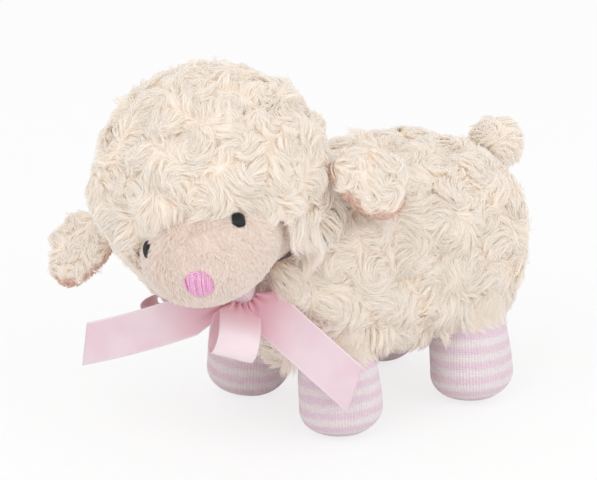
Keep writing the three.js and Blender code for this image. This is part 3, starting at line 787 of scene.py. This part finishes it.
whole = meshOf(torsoGrid(torso["inset"]), "torso_ground")
torsoWhorls = makeWhorls(surfaceSamples(whole, 0.2, rng)[0], curls, rng)
for cover in covers:
    mesh = torsoPanel(cover)
    lumpy(mesh, torso)
    roots, normals = surfaceSamples(mesh, curls["density"], rng)
    piece = addPiece(cover + "_ground", mesh, fleeceGround, "torso", [cover])
    thicken(piece, torso["clothThickness"])
    flow = whorlFlow(torsoWhorls, curls, overHips)
    addPile(cover + "_pile", roots, normals, flow, curls, fleecePile, "torso")
print("torso dressed", len(torsoWhorls["places"]), "curls")


# Hems: longer pile at the edges of the fleece, which hangs over what comes out of it

hem = dict(
    curls, lifts=(20, 4, -12), perLock=16, clump=0.35, density=5, pull=1.2,
    neck=18, neckReach=10, cheekReach=8, cheekDepth=30, front=15, rear=11,
    forwards=1.7, forwardsReach=8, hipReach=3, above=8, below=5, clearance=0.7,
    bend=(2, -10),  # two heights from the hip's height, given with the hem piece as points
)


def addHem(name, length, roots, centre, axis, whorls, pull, body, clear=None):
    # pile that hangs straight along an axis
    offset = roots - centre
    offset -= np.outer(offset @ axis, axis)
    plan = dict(hem, length=length, clear=clear)
    flow = whorlFlow(whorls, plan, pull)
    addPile(name, roots, unit(offset), flow, plan, fleecePile, body)


# Head

head = dict(
    reach=23, rise=26.5, turn=44, nod=14, tilt=23,
    skull=(52, 51, 49), muzzle=(32, 36.5, 25), muzzleForward=31.3, muzzleDrop=10.4, faceRecess=5,
    hairlineForward=46, hairlineHeight=8, hairlineSlope=35, squares=60,
    heart=(0, -20, -8),  # inside both skull and muzzle, from where the face's reach is found
    blend=2.2,  # how softly the cheeks run into the muzzle
    fringePull=1.1, fringeReach=5,
    velourInset=1, velourThickness=0.8, velourBehind=2.5,  # it runs on behind the hood's edge
)
headPlace = neckPlace + Vector((0, -head["reach"], head["rise"])) * mm
headTurned = (
    Matrix.Rotation(math.radians(head["turn"]), 4, "Z")
    @ Matrix.Rotation(math.radians(head["nod"]), 4, "X")
    @ Matrix.Rotation(-math.radians(head["tilt"]), 4, "Y")
)
headFrame = Matrix.Translation(headPlace) @ headTurned
slope = math.radians(head["hairlineSlope"])
hairline = headFrame @ Vector((0, -head["hairlineForward"] * mm, head["hairlineHeight"] * mm))
hoodward = headTurned.to_3x3() @ Vector((0, math.cos(slope), math.sin(slope)))
headLeft = headTurned.to_3x3() @ Vector((1, 0, 0))
muzzleMiddle = (0, -head["muzzleForward"], -head["muzzleDrop"])


# Embroidery: pads of satin stitches that hug the velour, which no pile covers

stitching = dict(
    eyeSpacing=44.6, eyeHeight=3.6, eyeHalf=(2.5, 3.8), eyeRelief=1.5, eyeThread=0.3,
    noseHeight=-10.7, noseHalf=(6.2, 6.2), noseRelief=1.7, noseThread=0.46,
    above=8,  # from where each stitch is laid down on the velour
)


def padFrame(x, z):
    # a place on the muzzle and the way it faces there
    half = head["muzzle"]
    share = 1 - (x / half[0]) ** 2 - ((z - muzzleMiddle[2]) / half[2]) ** 2
    place = Vector((x, muzzleMiddle[1] - half[1] * math.sqrt(share), z))
    facing = Vector([(p - m) / h**2 for p, m, h in zip(place, muzzleMiddle, half)])
    return headFrame @ frameAt(place * mm, Vector((1, 0, 0)), facing)


stitchPads |= {
    "eye_left": (padFrame(stitching["eyeSpacing"] / 2, stitching["eyeHeight"]), stitching["eyeHalf"]),
    "eye_right": (padFrame(-stitching["eyeSpacing"] / 2, stitching["eyeHeight"]), stitching["eyeHalf"]),
    "nose": (padFrame(0, stitching["noseHeight"]), stitching["noseHalf"]),
}


def hoodMesh(name, side):
    grid = ballGrid(head["squares"])
    half = Vector(head["skull"]) * mm - Vector((1, 1, 1)) * torso["inset"] * mm
    for vert in grid.verts:
        vert.co = headFrame @ Vector([c * h for c, h in zip(vert.co, half)])
    cutAway(grid, neckPlace, -neckAxis)
    cutAway(grid, hairline, -hoodward)
    cutAway(grid, headPlace, -side * headLeft)
    return meshOf(grid, name)


def beyondFace(places):
    return np.abs((places - np.array(hairline)) @ np.array(hoodward)) / mm


def overFace(places):
    # along the hairline the pile hangs over the velour
    pull = head["fringePull"] * np.exp(-beyondFace(places) / head["fringeReach"])
    return -np.array(hoodward)[None] * pull[:, None]


hoodSamples = []
for name, side in (("hood_left", 1), ("hood_right", -1)):
    mesh = hoodMesh(name, side)
    lumpy(mesh, torso)
    hoodSamples.append((name, mesh, surfaceSamples(mesh, curls["density"], rng)))
hoodRoots = np.concatenate([roots for name, mesh, (roots, normals) in hoodSamples])
hoodWhorls = makeWhorls(rng.permutation(hoodRoots), curls, rng)
for name, mesh, (roots, normals) in hoodSamples:
    piece = addPiece(name + "_ground", mesh, fleeceGround, "head", [name])
    thicken(piece, torso["clothThickness"])
    flow = whorlFlow(hoodWhorls, curls, overFace)
    addPile(name + "_pile", roots, normals, flow, curls, fleecePile, "head")


def overNeck(places):
    # over the neck the pile hangs down, and at the cheeks forwards too
    forwards = hem["forwards"] * np.exp(-beyondFace(places) / hem["forwardsReach"])
    return -hem["pull"] * (np.array(neckAxis) + forwards[:, None] * np.array(hoodward))


for name, mesh, (roots, normals) in hoodSamples:
    roots = surfaceSamples(mesh, hem["density"], rng)[0]
    height = (roots - np.array(neckPlace)) @ np.array(neckAxis) / mm
    atCheek = (beyondFace(roots) < hem["cheekReach"]) & (height < hem["cheekDepth"])
    roots = roots[(height < hem["neckReach"]) | atCheek]
    addHem(
        name + "_hem_pile", hem["neck"], roots, np.array(neckPlace), np.array(neckAxis),
        hoodWhorls, overNeck, "head",
    )
print("hood dressed", len(hoodWhorls["places"]), "curls")


# Face

def reachTo(centre, half, start, direction):
    # how far a run from inside an ellipsoid goes before it comes out
    a = sum((d / h) ** 2 for d, h in zip(direction, half))
    b = sum(d * (s - c) / h**2 for d, s, c, h in zip(direction, start, centre, half))
    c = sum(((s - c) / h) ** 2 for s, c, h in zip(start, centre, half)) - 1
    return (-b + math.sqrt(b * b - a * c)) / a


def faceReach(direction, inset):
    heart, soft = head["heart"], head["blend"]
    skull = [h - head["faceRecess"] - inset for h in head["skull"]]
    muzzle = [h - inset for h in head["muzzle"]]
    reaches = (
        reachTo((0, 0, 0), skull, heart, direction), reachTo(muzzleMiddle, muzzle, heart, direction)
    )
    top = max(reaches)
    reach = top + soft * math.log(sum(math.exp((r - top) / soft) for r in reaches)) - soft * 0.15
    return Vector(heart) + Vector(direction) * min(reach, top + soft * 0.5)


def faceGrid(squares, inset):
    grid = ballGrid(squares)
    for vert in grid.verts:
        vert.co = headFrame @ (faceReach(vert.co, inset) * mm)
    cutAway(grid, neckPlace, -neckAxis)
    return grid


nap = dict(
    length=2.3, lifts=(36, 16), liftSpread=8, lengthShares=(0.7, 1.2),
    perLock=6, clump=0.2, wander=0.12, stray=12, roll=40,
    widths=(0.4, 0.34), toneSpread=0.15, density=6, room=0.1,
)


# Stitches over the velour

def stitchRow(skin, frame, half, count, angle, relief, outline, fan=0.0, uneven=0.0):
    # stitches side by side over a low pad on the skin, as paths
    facing = frame.to_3x3().col[2]
    frame = frame @ Matrix.Rotation(math.radians(angle), 4, "Z")
    paths = []
    for i in range(count):
        share = (i + 0.5 + rng.normal(0, uneven)) / count * 2 - 1
        share = min(max(share, -0.97), 0.97)
        reach = outline(share) * (1 + rng.normal(0, uneven / 4))
        lift = rng.normal(0, uneven / 3)
        path = []
        for step in np.linspace(-1, 1, 15):
            across = share * half[0] * (1 + fan * step)
            spot = Vector((across, step * reach * half[1], stitching["above"]))
            hit = skin.ray_cast(frame @ (spot * mm), -facing)[0]
            height = relief * math.sqrt(max(1 - step**2 * 0.97, 0)) * (1 - 0.4 * share**2)
            path.append(hit + facing * (height + lift) * mm)
        paths.append(np.array(path))
    return paths


def embroider(skin):
    for name in ("eye_left", "eye_right"):
        paths = []
        for angle, share in ((38, 0.7), (-35, 0.85), (0, 1.0)):
            paths += stitchRow(
                skin, *stitchPads[name], 9, angle, stitching["eyeRelief"] * share,
                lambda share: math.sqrt(1 - share**2 * 0.9),
            )
        mesh = threadMesh(name, paths, stitching["eyeThread"] * mm)
        addPiece(name + "_stitches", mesh, blackThread, "head", [name])
    rounded = lambda share: math.sqrt(1 - share**2 * 0.8)
    paths = stitchRow(skin, *stitchPads["nose"], 15, 90, stitching["noseRelief"] * 0.6, rounded)
    paths += stitchRow(skin, *stitchPads["nose"], 12, -18, stitching["noseRelief"], rounded, 0.1, 0.32)
    mesh = threadMesh("nose", paths, stitching["noseThread"] * mm)
    addPiece("nose_stitches", mesh, pinkThread, "head", ["nose"])


brow = headFrame @ (Vector((0, -40, 14)) * mm)
grid = faceGrid(head["squares"], head["velourInset"])
cutAway(grid, hairline + hoodward * head["velourBehind"] * mm, hoodward)
faceSkin = meshOf(grid, "face_cover")
roots, normals = surfaceSamples(faceSkin, nap["density"], rng)
piece = addPiece("face_ground", faceSkin, velourGround, "head", ["face_cover"])
corners = [tuple(face.vertices) for face in faceSkin.polygons]
embroider(BVHTree.FromPolygons([vert.co for vert in faceSkin.vertices], corners))
thicken(piece, head["velourThickness"])
faceFlow = combed(lambda places: places - np.array(brow), 14, rng)
bare = nearStitches(roots, -0.4)
roots, normals = roots[~bare], normals[~bare]
addPile("face_pile", roots, normals, faceFlow, nap, velourPile, "head")
print("face dressed", len(roots), "strands")


# Ears: a leaf of fleece, lined with velour below

ear = dict(
    length=37, halfWidth=16.5, halfThickness=5.5, taper=0.28, curl=6,
    twists=dict(ear_left=24, ear_right=32), droops=dict(ear_left=44, ear_right=3),
    rootBack=2, rootHeight=-10, liningRoll=12, liningDepth=0.8, inset=2.2, liningInset=0.7, squares=30,
    clothThickness=1, liningThickness=0.8,
    pileEdge=0.05,  # no fleece below the rim, so that the lining shows
)
earPile = dict(curls, length=8, lifts=(32, 5, -24), density=4.5, spacing=12)
liningNap = dict(nap, length=2.2, density=5)


def earFrame(name):
    side = 1 if name == "ear_left" else -1
    back, up = ear["rootBack"] / head["skull"][1], ear["rootHeight"] / head["skull"][2]
    out = math.sqrt(1 - back**2 - up**2) * head["skull"][0]
    droop = math.radians(ear["droops"][name])
    outwards = Vector((side * math.cos(droop), 0, -math.sin(droop)))
    upwards = Vector((side * math.sin(droop), 0, math.cos(droop)))
    upwards.rotate(Matrix.Rotation(side * math.radians(ear["twists"][name]), 3, outwards))
    root = Vector((side * out, ear["rootBack"], ear["rootHeight"])) * mm
    return headFrame @ frameAt(root, outwards, upwards)


def earSkin(name, upper):
    side = 1 if name == "ear_left" else -1
    frame = earFrame(name)
    half = Vector((ear["length"] / 2, ear["halfWidth"], ear["halfThickness"]))
    half -= Vector((1, 1, 1)) * (ear["inset"] if upper else ear["liningInset"])
    grid = ballGrid(ear["squares"])
    for vert in grid.verts:
        x, y, z = vert.co
        width = half.y * (1 + ear["taper"] * x)
        vert.co = Vector((ear["length"] / 2 + x * half.x, y * width, z * half.z))
    roll = -side * math.radians(ear["liningRoll"])
    facing = -Vector((0, -math.sin(roll), math.cos(roll)))
    if not upper:
        cutAway(grid, facing * ear["liningDepth"], -facing)
    for vert in grid.verts:
        share = max(vert.co.x, 0) / ear["length"]
        vert.co.z -= ear["curl"] * share**2
        vert.co = frame @ (vert.co * mm)
    return meshOf(grid, name + ("_fleece" if upper else "_lining"))


rng = np.random.default_rng(5)  # the ears' own curls
for name in ("ear_left", "ear_right"):
    turn = earFrame(name).to_3x3()
    tipward, upward = np.array(turn.col[0]), np.array(turn.col[2])
    plan = dict(earPile, comb=tuple(tipward * 0.25 + np.array((0, 0, -0.3))))
    skin = earSkin(name, True)
    roots, normals = surfaceSamples(skin, plan["density"], rng)
    shown = normals @ upward > ear["pileEdge"]
    roots, normals = roots[shown], normals[shown]
    whorls = makeWhorls(roots, plan, rng)
    cover = name + "_fleece"
    piece = addPiece(cover + "_ground", skin, fleeceGround, name, [cover])
    thicken(piece, ear["clothThickness"])
    flow = whorlFlow(whorls, plan)
    addPile(cover + "_pile", roots, normals, flow, plan, fleecePile, name)
    skin = earSkin(name, False)
    roots, normals = surfaceSamples(skin, liningNap["density"], rng)
    lining = name + "_lining"
    piece = addPiece(lining + "_ground", skin, liningGround, name, [lining])
    thicken(piece, ear["liningThickness"])
    flow = combed(lambda places: np.tile(tipward, (len(places), 1)), 12, rng)
    addPile(lining + "_pile", roots, normals, flow, liningNap, liningPile, name)
print("ears dressed")


# Tail: a stub turned about its own axis

tail = dict(
    halfWidth=12, length=22, rootRadius=9.5, rootAngle=75, lift=33, inset=2.6, clothThickness=1,
)
tailPile = dict(curls, length=8, density=4.5, spacing=12)
tailFrame = frameAt(
    Vector(joints["tail_wag"]["pos_m"]), Vector((1, 0, 0)),
    Vector((0, math.cos(math.radians(tail["lift"])), math.sin(math.radians(tail["lift"])))),
)


def tailOutline(inset):
    root, width = tail["rootRadius"] - inset, tail["halfWidth"] - inset
    angle = math.radians(tail["rootAngle"])
    neck = (root * math.sin(angle), root * math.cos(angle))
    tip = (0, tail["length"] - tail["halfWidth"])
    start = arc((0, 0), (root, root), -88, 90 - tail["rootAngle"], 12)
    run = bezier([neck, (width, 2 * neck[1]), (width, tip[1])], 8)
    return np.concatenate([start, run[1:], arc(tip, (width, width), 0, 89, 14)[1:]])


tailRows = inFrame(tailFrame, turnedRows(evenly(tailOutline(tail["inset"]), 40)[0], 48))
tailSkin = gridMesh("tail_cover", tailRows, closed=True)
roots, normals = surfaceSamples(tailSkin, tailPile["density"], rng)
shown = (roots - np.array(tailFrame.translation)) @ np.array(tailFrame.to_3x3())[:, 2] > 0
roots, normals = roots[shown], normals[shown]
whorls = makeWhorls(roots, tailPile, rng)
piece = addPiece("tail_ground", tailSkin, fleeceGround, "tail", ["tail_cover"])
thicken(piece, tail["clothThickness"])
flow = whorlFlow(whorls, tailPile)
addPile("tail_pile", roots, normals, flow, tailPile, fleecePile, "tail")
print("tail dressed")


# Legs: knitted tubes with rounded ends

leg = dict(
    hipRadius=15.5, radius=18.2, bulgeHeight=12, soleDepth=12, soleFlat=0.8, splay=5, inset=0.2,
    sag=0.35, sags=3, sagLength=5.5,  # slow swells of the filled knit, round and along the leg
    smoothRadius=9,  # no ribs or sags nearer the middle of the sole than this
    lowest=0.1,
)


def legLength(hipHeight):
    soleRadius = leg["radius"] ** 2 / leg["soleDepth"]
    splay = math.radians(leg["splay"])
    return soleRadius + (hipHeight + leg["soleFlat"] - soleRadius) / math.cos(splay)


def legOutline(inset, hipHeight, topAngle=70):
    length = legLength(hipHeight)
    radius, ball = leg["radius"] - inset, leg["hipRadius"] - inset
    sole = arc((0, leg["soleDepth"] - length), (radius, leg["soleDepth"] - inset), -88.5, 0, 30)
    bulge = leg["bulgeHeight"]
    controls = [(radius, leg["soleDepth"] - length), (radius, -bulge), (ball, -bulge / 2), (ball, 0)]
    shank = bezier(controls, 30)
    return np.concatenate([sole, shank[1:], arc((0, 0), (ball, ball), 0, topAngle, 20)[1:]])


def hipFrame(name):
    hip = Vector(joints[name + "_swing"]["pos_m"])
    side = 1 if name.endswith("left") else -1
    splay = math.radians(leg["splay"])
    return frameAt(hip, Vector((1, 0, 0)), Vector((-side * math.sin(splay), 0, math.cos(splay))))


knitCloth = None
for name in legNames:
    hip = hipFrame(name)
    outline, gone = evenly(legOutline(leg["inset"], hip.translation.z / mm), 104)
    around = knit["ribs"] * 4  # four places round each rib
    rows = turnedRows(outline, around)
    angle = np.linspace(0, 2 * math.pi, around, endpoint=False)
    fade = np.clip(outline[:, 0] / leg["smoothRadius"], 0, 1)[:, None]
    ribs = knit["ribHeight"] * np.cos(knit["ribs"] * angle)[None]
    sags = leg["sag"] * np.sin(leg["sags"] * angle + 1.3)[None] * np.sin(gone / leg["sagLength"])[:, None]
    rows[:, :, :2] *= 1 + ((ribs + sags) * fade / np.maximum(outline[:, :1], 1))[:, :, None]
    places = inFrame(hip, rows)
    places[:, :, 2] = np.maximum(places[:, :, 2], leg["lowest"] * mm)
    if knitCloth is None:
        knitCloth = makeKnitMaterial("striped rib knit", knit, gone[-1])
    mesh = gridMesh(name + "_sock", places, closed=True, capped=True)
    piece = addPiece(name + "_sock_knit", mesh, knitCloth, name, [name + "_sock"])
print("socks knitted")


def outsideSock(name):
    # moves what would run inside a sock out to its knit
    frame = hipFrame(name)
    turn, place = np.array(frame.to_3x3()), np.array(frame.translation)
    outline = legOutline(0, frame.translation.z / mm)

    def moved(strand):
        local = (strand - place) @ turn / mm
        reach = np.linalg.norm(local[..., :2], axis=-1)
        wanted = np.interp(local[..., 2], outline[:, 1], outline[:, 0]) + hem["clearance"]
        local[..., :2] *= np.maximum(wanted / np.maximum(reach, 1e-6), 1)[..., None]
        return local @ turn.T * mm + place

    return moved


for name in legNames:
    hip = np.array(joints[name + "_swing"]["pos_m"])
    roots = surfaceSamples(whole, hem["density"], rng)[0]
    away = np.linalg.norm((roots - hip)[:, :2], axis=1) / mm - torso["hipOpening"]
    height = (roots[:, 2] - hip[2]) / mm
    kept = (away < hem["hipReach"]) & (height < hem["above"]) & (height > -hem["below"])
    length = hem["front"] if "front" in name else hem["rear"]
    start, end = (tuple(hip + np.array((0, 0, height * mm))) for height in hem["bend"])
    addHem(
        name + "_hem_pile", length, roots[kept], hip, np.array((0.0, 0.0, 1.0)),
        torsoWhorls, lambda places: np.tile((0, 0, -hem["pull"]), (len(places), 1)),
        dict(a="torso", b=name, start=start, end=end), outsideSock(name),
    )
print("hems hung")


# Bow

bow = dict(
    turn=33, knotHalf=(6, 4.8, 6), knotFullness=2.6, seamGap=0.3, thickness=0.6, width=19,
    pinchHalfWidth=3.4, neckRadius=26.5, bandWidth=10, clothThickness=0.3,
    endFoldDepth=1.5, loopFoldDepth=1.1,
    pleatShare=0.045, pleatTurn=5,  # the knot's pleats, and how many radians each millimetre turns them
    bandFolds=3.6, bandFoldDepth=0.72,  # the gathers that run round the neck
    endTake=1.02,  # how much longer a free end is than the line it follows
)
ribbonEnds = dict(
    ribbon_tail_left=dict(
        start=(2, -1, 1), heading=43, dip=41.5, faceHeading=-38, faceLift=19,
        length=59, pinch=6, skew=4.7, arch=7,
    ),
    ribbon_tail_right=dict(
        start=(-1, -2, 3), heading=-131, dip=18, faceHeading=-38, faceLift=-2,
        length=66, pinch=18, skew=-4.4, arch=5,
    ),
)
ribbonLoops = dict(
    bow_loop_left=dict(
        start=(-1, -1.5, 4), heading=-47, dip=48, faceHeading=-22, faceLift=8,
        length=25, pinch=6, depth=12,
    ),
    bow_loop_right=dict(
        start=(-3, -2, -1), heading=-147, dip=14, faceHeading=142, faceLift=80,
        length=39, pinch=22, depth=9,
    ),
)
neckFrame = frameAt(neckPlace, Vector((1, 0, 0)), neckAxis)
bandRadius = bow["neckRadius"] + bow["seamGap"]
knotReach = bandRadius + bow["thickness"] + bow["seamGap"] + bow["knotHalf"][2]
bowTurn = math.radians(bow["turn"])
knotOutwards = Vector((math.sin(bowTurn), -math.cos(bowTurn), 0))
knotFrame = neckFrame @ frameAt(
    knotOutwards * knotReach * mm, Vector((math.cos(bowTurn), math.sin(bowTurn), 0)), knotOutwards
)


def heading(turn, lift):
    turn, lift = math.radians(turn), math.radians(lift)
    return Vector((math.cos(turn) * math.cos(lift), math.sin(turn) * math.cos(lift), math.sin(lift)))


def reachOutOfKnot(start, along):
    # how far a run from inside the knot goes before it comes out, found by halving
    inside, outside = 0, 20
    for _ in range(20):
        middle = (inside + outside) / 2
        shares = [abs(c / h) for c, h in zip(start + along * middle, bow["knotHalf"])]
        within = sum(share ** bow["knotFullness"] for share in shares) < 1
        inside, outside = (middle, outside) if within else (inside, middle)
    return outside + bow["seamGap"]


def ribbonFrame(run):
    # where a ribbon leaves the knot: x along it, y across it and z out of its face
    along = heading(run["heading"], -run["dip"])
    across = heading(run["faceHeading"], run["faceLift"]).cross(along).normalized()
    start = Vector(run["start"])
    alongInKnot = knotFrame.to_3x3().transposed() @ along
    leave = start + alongInKnot * reachOutOfKnot(start, alongInKnot)
    return frameAt(knotFrame @ (leave * mm), along, along.cross(across))


def ribbonRows(curve, run, foldDepth, columns=29, folds=3):
    # rows across a strip that follows a curve and opens out of its gathers
    slope = unit(np.gradient(curve, axis=0))
    share = np.clip(curve[:, 0] / run["pinch"], 0, 1)
    half = bow["pinchHalfWidth"] + (bow["width"] / 2 - bow["pinchHalfWidth"]) * share
    across = np.linspace(-1, 1, columns)
    gather = (1 - share**0.8)[:, None] * foldDepth * np.cos(across * math.pi * folds)[None]
    lift = gather - gather.max() * 0.3 * (1 - share[:, None])
    x = curve[:, :1] - slope[:, 1:] * lift
    z = curve[:, 1:] + slope[:, :1] * lift
    return np.stack([x, half[:, None] * across[None], z], -1)


ribbonSatin = makeSatinMaterial("pink satin ribbon", satin, bow["width"])
paintedLightLoopPlan = dict(satin, pink="#fdf3f7", deep="#f9eaf1")  # paler, painted light for the loops, as light comes at them from both sides
paintedLightLoopSatin = makeSatinMaterial("pink satin loop", paintedLightLoopPlan, bow["width"], 2)


def cutAskew(rows, cutShares, steps=80):
    # each column of a strip, from its start to its own cut
    whole = np.linspace(0, 1, len(rows))
    columns = []
    for column, cutAt in zip(rows.transpose(1, 0, 2), cutShares):
        spots = np.linspace(0, cutAt, steps)
        columns.append(np.stack([np.interp(spots, whole, column[:, axis]) for axis in range(3)], -1))
    return np.stack(columns, 1)


for name, run in ribbonEnds.items():
    end = run["length"] + abs(run["skew"]) + 2
    curve = evenly(bezier([(0, 0), (end / 2, 2 * run["arch"]), (end, 0)], 90), 90)[0]
    rows = ribbonRows(curve, run, bow["endFoldDepth"])
    rows = cutAskew(rows, (run["length"] - run["skew"] * np.linspace(-1, 1, rows.shape[1])) / end)
    mesh = gridMesh(name, inFrame(ribbonFrame(run), rows))
    piece = addPiece(name + "_satin", mesh, ribbonSatin, name, [name])
    thicken(piece, bow["clothThickness"], 0)


loopReachShare = 0.75  # how far a cubic curve gets towards its controls, along
loopDepthShare = 0.289  # and to the side
for name, run in ribbonLoops.items():
    reach, depth = run["length"] / loopReachShare, run["depth"] / (2 * loopDepthShare)
    controls = [(0, bow["thickness"]), (reach, depth), (reach, -depth), (0, -bow["thickness"])]
    curve, gone = evenly(bezier(controls, 200), 120)
    rows = ribbonRows(curve, run, bow["loopFoldDepth"])
    mesh = gridMesh(name, inFrame(ribbonFrame(run), rows))
    piece = addPiece(name + "_satin", mesh, paintedLightLoopSatin, "torso", [name])
    thicken(piece, bow["clothThickness"], 0)


# The knot is one wrap of ribbon, gathered lengthwise
grid = ballGrid(36)
fullness = (bow["knotFullness"], bow["knotFullness"])
for vert in grid.verts:
    fade = 1 - abs(vert.co.x) ** 4
    spot = stuffedPlace(vert.co.copy(), Vector(bow["knotHalf"]), fullness, 0)
    pleat = 1 + bow["pleatShare"] * math.cos(bow["pleatTurn"] * spot.x + 0.6 * math.sin(spot.y)) * fade
    vert.co = knotFrame @ (Vector((spot.x, spot.y * pleat, spot.z * pleat)) * mm)
knotSatin = makeSatinMaterial("pink satin knot", satin)
mesh = meshOf(grid, "bow_knot")
piece = addPiece("bow_knot_satin", mesh, knotSatin, "torso", ["bow_knot"])


# The ribbon round the neck, gathered to half its width
angle = np.linspace(0, 2 * math.pi, 240, endpoint=False)
across = np.linspace(-1, 1, 45)[:, None]
uneven = 1 + 0.2 * np.sin(5 * angle)
ripple = bow["bandFoldDepth"] * np.sin(across * bow["bandFolds"] * math.pi) * uneven
radius = bandRadius + bow["thickness"] / 2 + ripple
height = across * bow["bandWidth"] / 2 + 0 * angle
rows = np.stack([radius * np.cos(angle), radius * np.sin(angle), height], -1)
mesh = gridMesh("neck_ribbon", inFrame(neckFrame, rows), closed=True)
piece = addPiece("neck_ribbon_satin", mesh, knotSatin, "torso", ["neck_ribbon"])
thicken(piece, bow["clothThickness"], 0)
print("bow tied")


# Stuffing: fibre fill inside each cover

filling = dict(gap=0.3, fleece=6, knit=2)  # under the skins by the covers' thickness


def addFilling(node, mesh, body):
    piece = addPiece(node + "_fill", mesh, fibreFill, body, [node])


grid = torsoGrid(filling["fleece"] + filling["gap"])
bmesh.ops.holes_fill(grid, edges=grid.edges[:])
addFilling("body_stuffing", meshOf(grid, "body_stuffing"), "torso")
grid = faceGrid(30, filling["fleece"])
bmesh.ops.holes_fill(grid, edges=grid.edges[:])
addFilling("head_stuffing", meshOf(grid, "head_stuffing"), "head")
for name in legNames:
    hip = hipFrame(name)
    outline = evenly(legOutline(filling["knit"] + filling["gap"], hip.translation.z / mm, 88), 30)[0]
    rows = inFrame(hip, turnedRows(outline, 40))
    addFilling(name + "_stuffing", gridMesh(name, rows, True, True), name)
outline = evenly(tailOutline(filling["fleece"] / 2 + filling["gap"]), 24)[0]
rows = inFrame(tailFrame, turnedRows(outline, 32))
addFilling("tail_stuffing", gridMesh("tail_stuffing", rows, True, True), "tail")
print("stuffed")


# Studio: a white surround that only the camera sees as white, pale paper and two soft lamps

studio = dict(
    surround=0.87,  # what lights the sheep, where the camera sees 1
    paper="#f6f6f6", paperGlow=0.75, floorReach=4,
    lamps=dict(
        key=dict(azimuth=20, elevation=50, distance=1400, aim=(0, 0, 60), size=1.1, power=3.8),
        fill=dict(azimuth=95, elevation=30, distance=1600, aim=(0, 0, 60), size=1.2, power=3.8),
    ),
)
white = (1, 1, 1, 1)


def addSurround():
    world = bpy.data.worlds.new("studio")
    bpy.context.scene.world = world
    world.use_nodes = True
    tree = world.node_tree
    tree.nodes.clear()
    path = addNode(tree, "ShaderNodeLightPath")
    seen = addNode(tree, "ShaderNodeBackground", {"Color": white, "Strength": 1.0})
    lit = addNode(tree, "ShaderNodeBackground", {"Color": white, "Strength": studio["surround"]})
    mix = addNode(
        tree, "ShaderNodeMixShader",
        links={0: path.outputs["Is Camera Ray"], 1: lit.outputs[0], 2: seen.outputs[0]},
    )
    addNode(tree, "ShaderNodeOutputWorld", links={"Surface": mix.outputs[0]})


# Paper: matt and white, without a gloss, and lighter to the camera than to the sheep.
def makePaperMaterial():
    material, tree = newMaterial("matt white paper")
    path = addNode(tree, "ShaderNodeLightPath")
    paper = addNode(tree, "ShaderNodeBsdfDiffuse", {"Color": linear(studio["paper"])})
    glow = addNode(tree, "ShaderNodeEmission", {"Color": white, "Strength": 1.0})
    share = addNode(
        tree, "ShaderNodeMath", {"operation": "MULTIPLY", 1: studio["paperGlow"]},
        {0: path.outputs["Is Camera Ray"]},
    )
    mix = addNode(
        tree, "ShaderNodeMixShader", links={0: share.outputs[0], 1: paper.outputs[0], 2: glow.outputs[0]}
    )
    addNode(tree, "ShaderNodeOutputMaterial", links={"Surface": mix.outputs[0]})
    return material


def addFloor():
    mesh = bpy.data.meshes.new("floor")
    reach = studio["floorReach"]
    corners = [(-reach, -reach, 0), (reach, -reach, 0), (reach, reach, 0), (-reach, reach, 0)]
    mesh.from_pydata(corners, [], [(0, 1, 2, 3)])
    mesh.materials.append(makePaperMaterial())
    floor = bpy.data.objects.new("floor", mesh)
    bpy.context.scene.collection.objects.link(floor)


def addLamp(name, plan):
    lamp = bpy.data.lights.new(name, "AREA")
    lamp.shape = "DISK"
    lamp.size = plan["size"]
    lamp.energy = plan["power"]
    placeAimed(name, lamp, plan)


addSurround()
addFloor()
for name, plan in studio["lamps"].items():
    addLamp(name, plan)
bpy.context.scene.view_settings.view_transform = "Standard"
bpy.context.scene.cycles.max_bounces = 24
bpy.context.scene.cycles.diffuse_bounces = 16  # light finds its way out of the pale pile
bpy.context.scene.cycles.transmission_bounces = 16
print("studio lit")
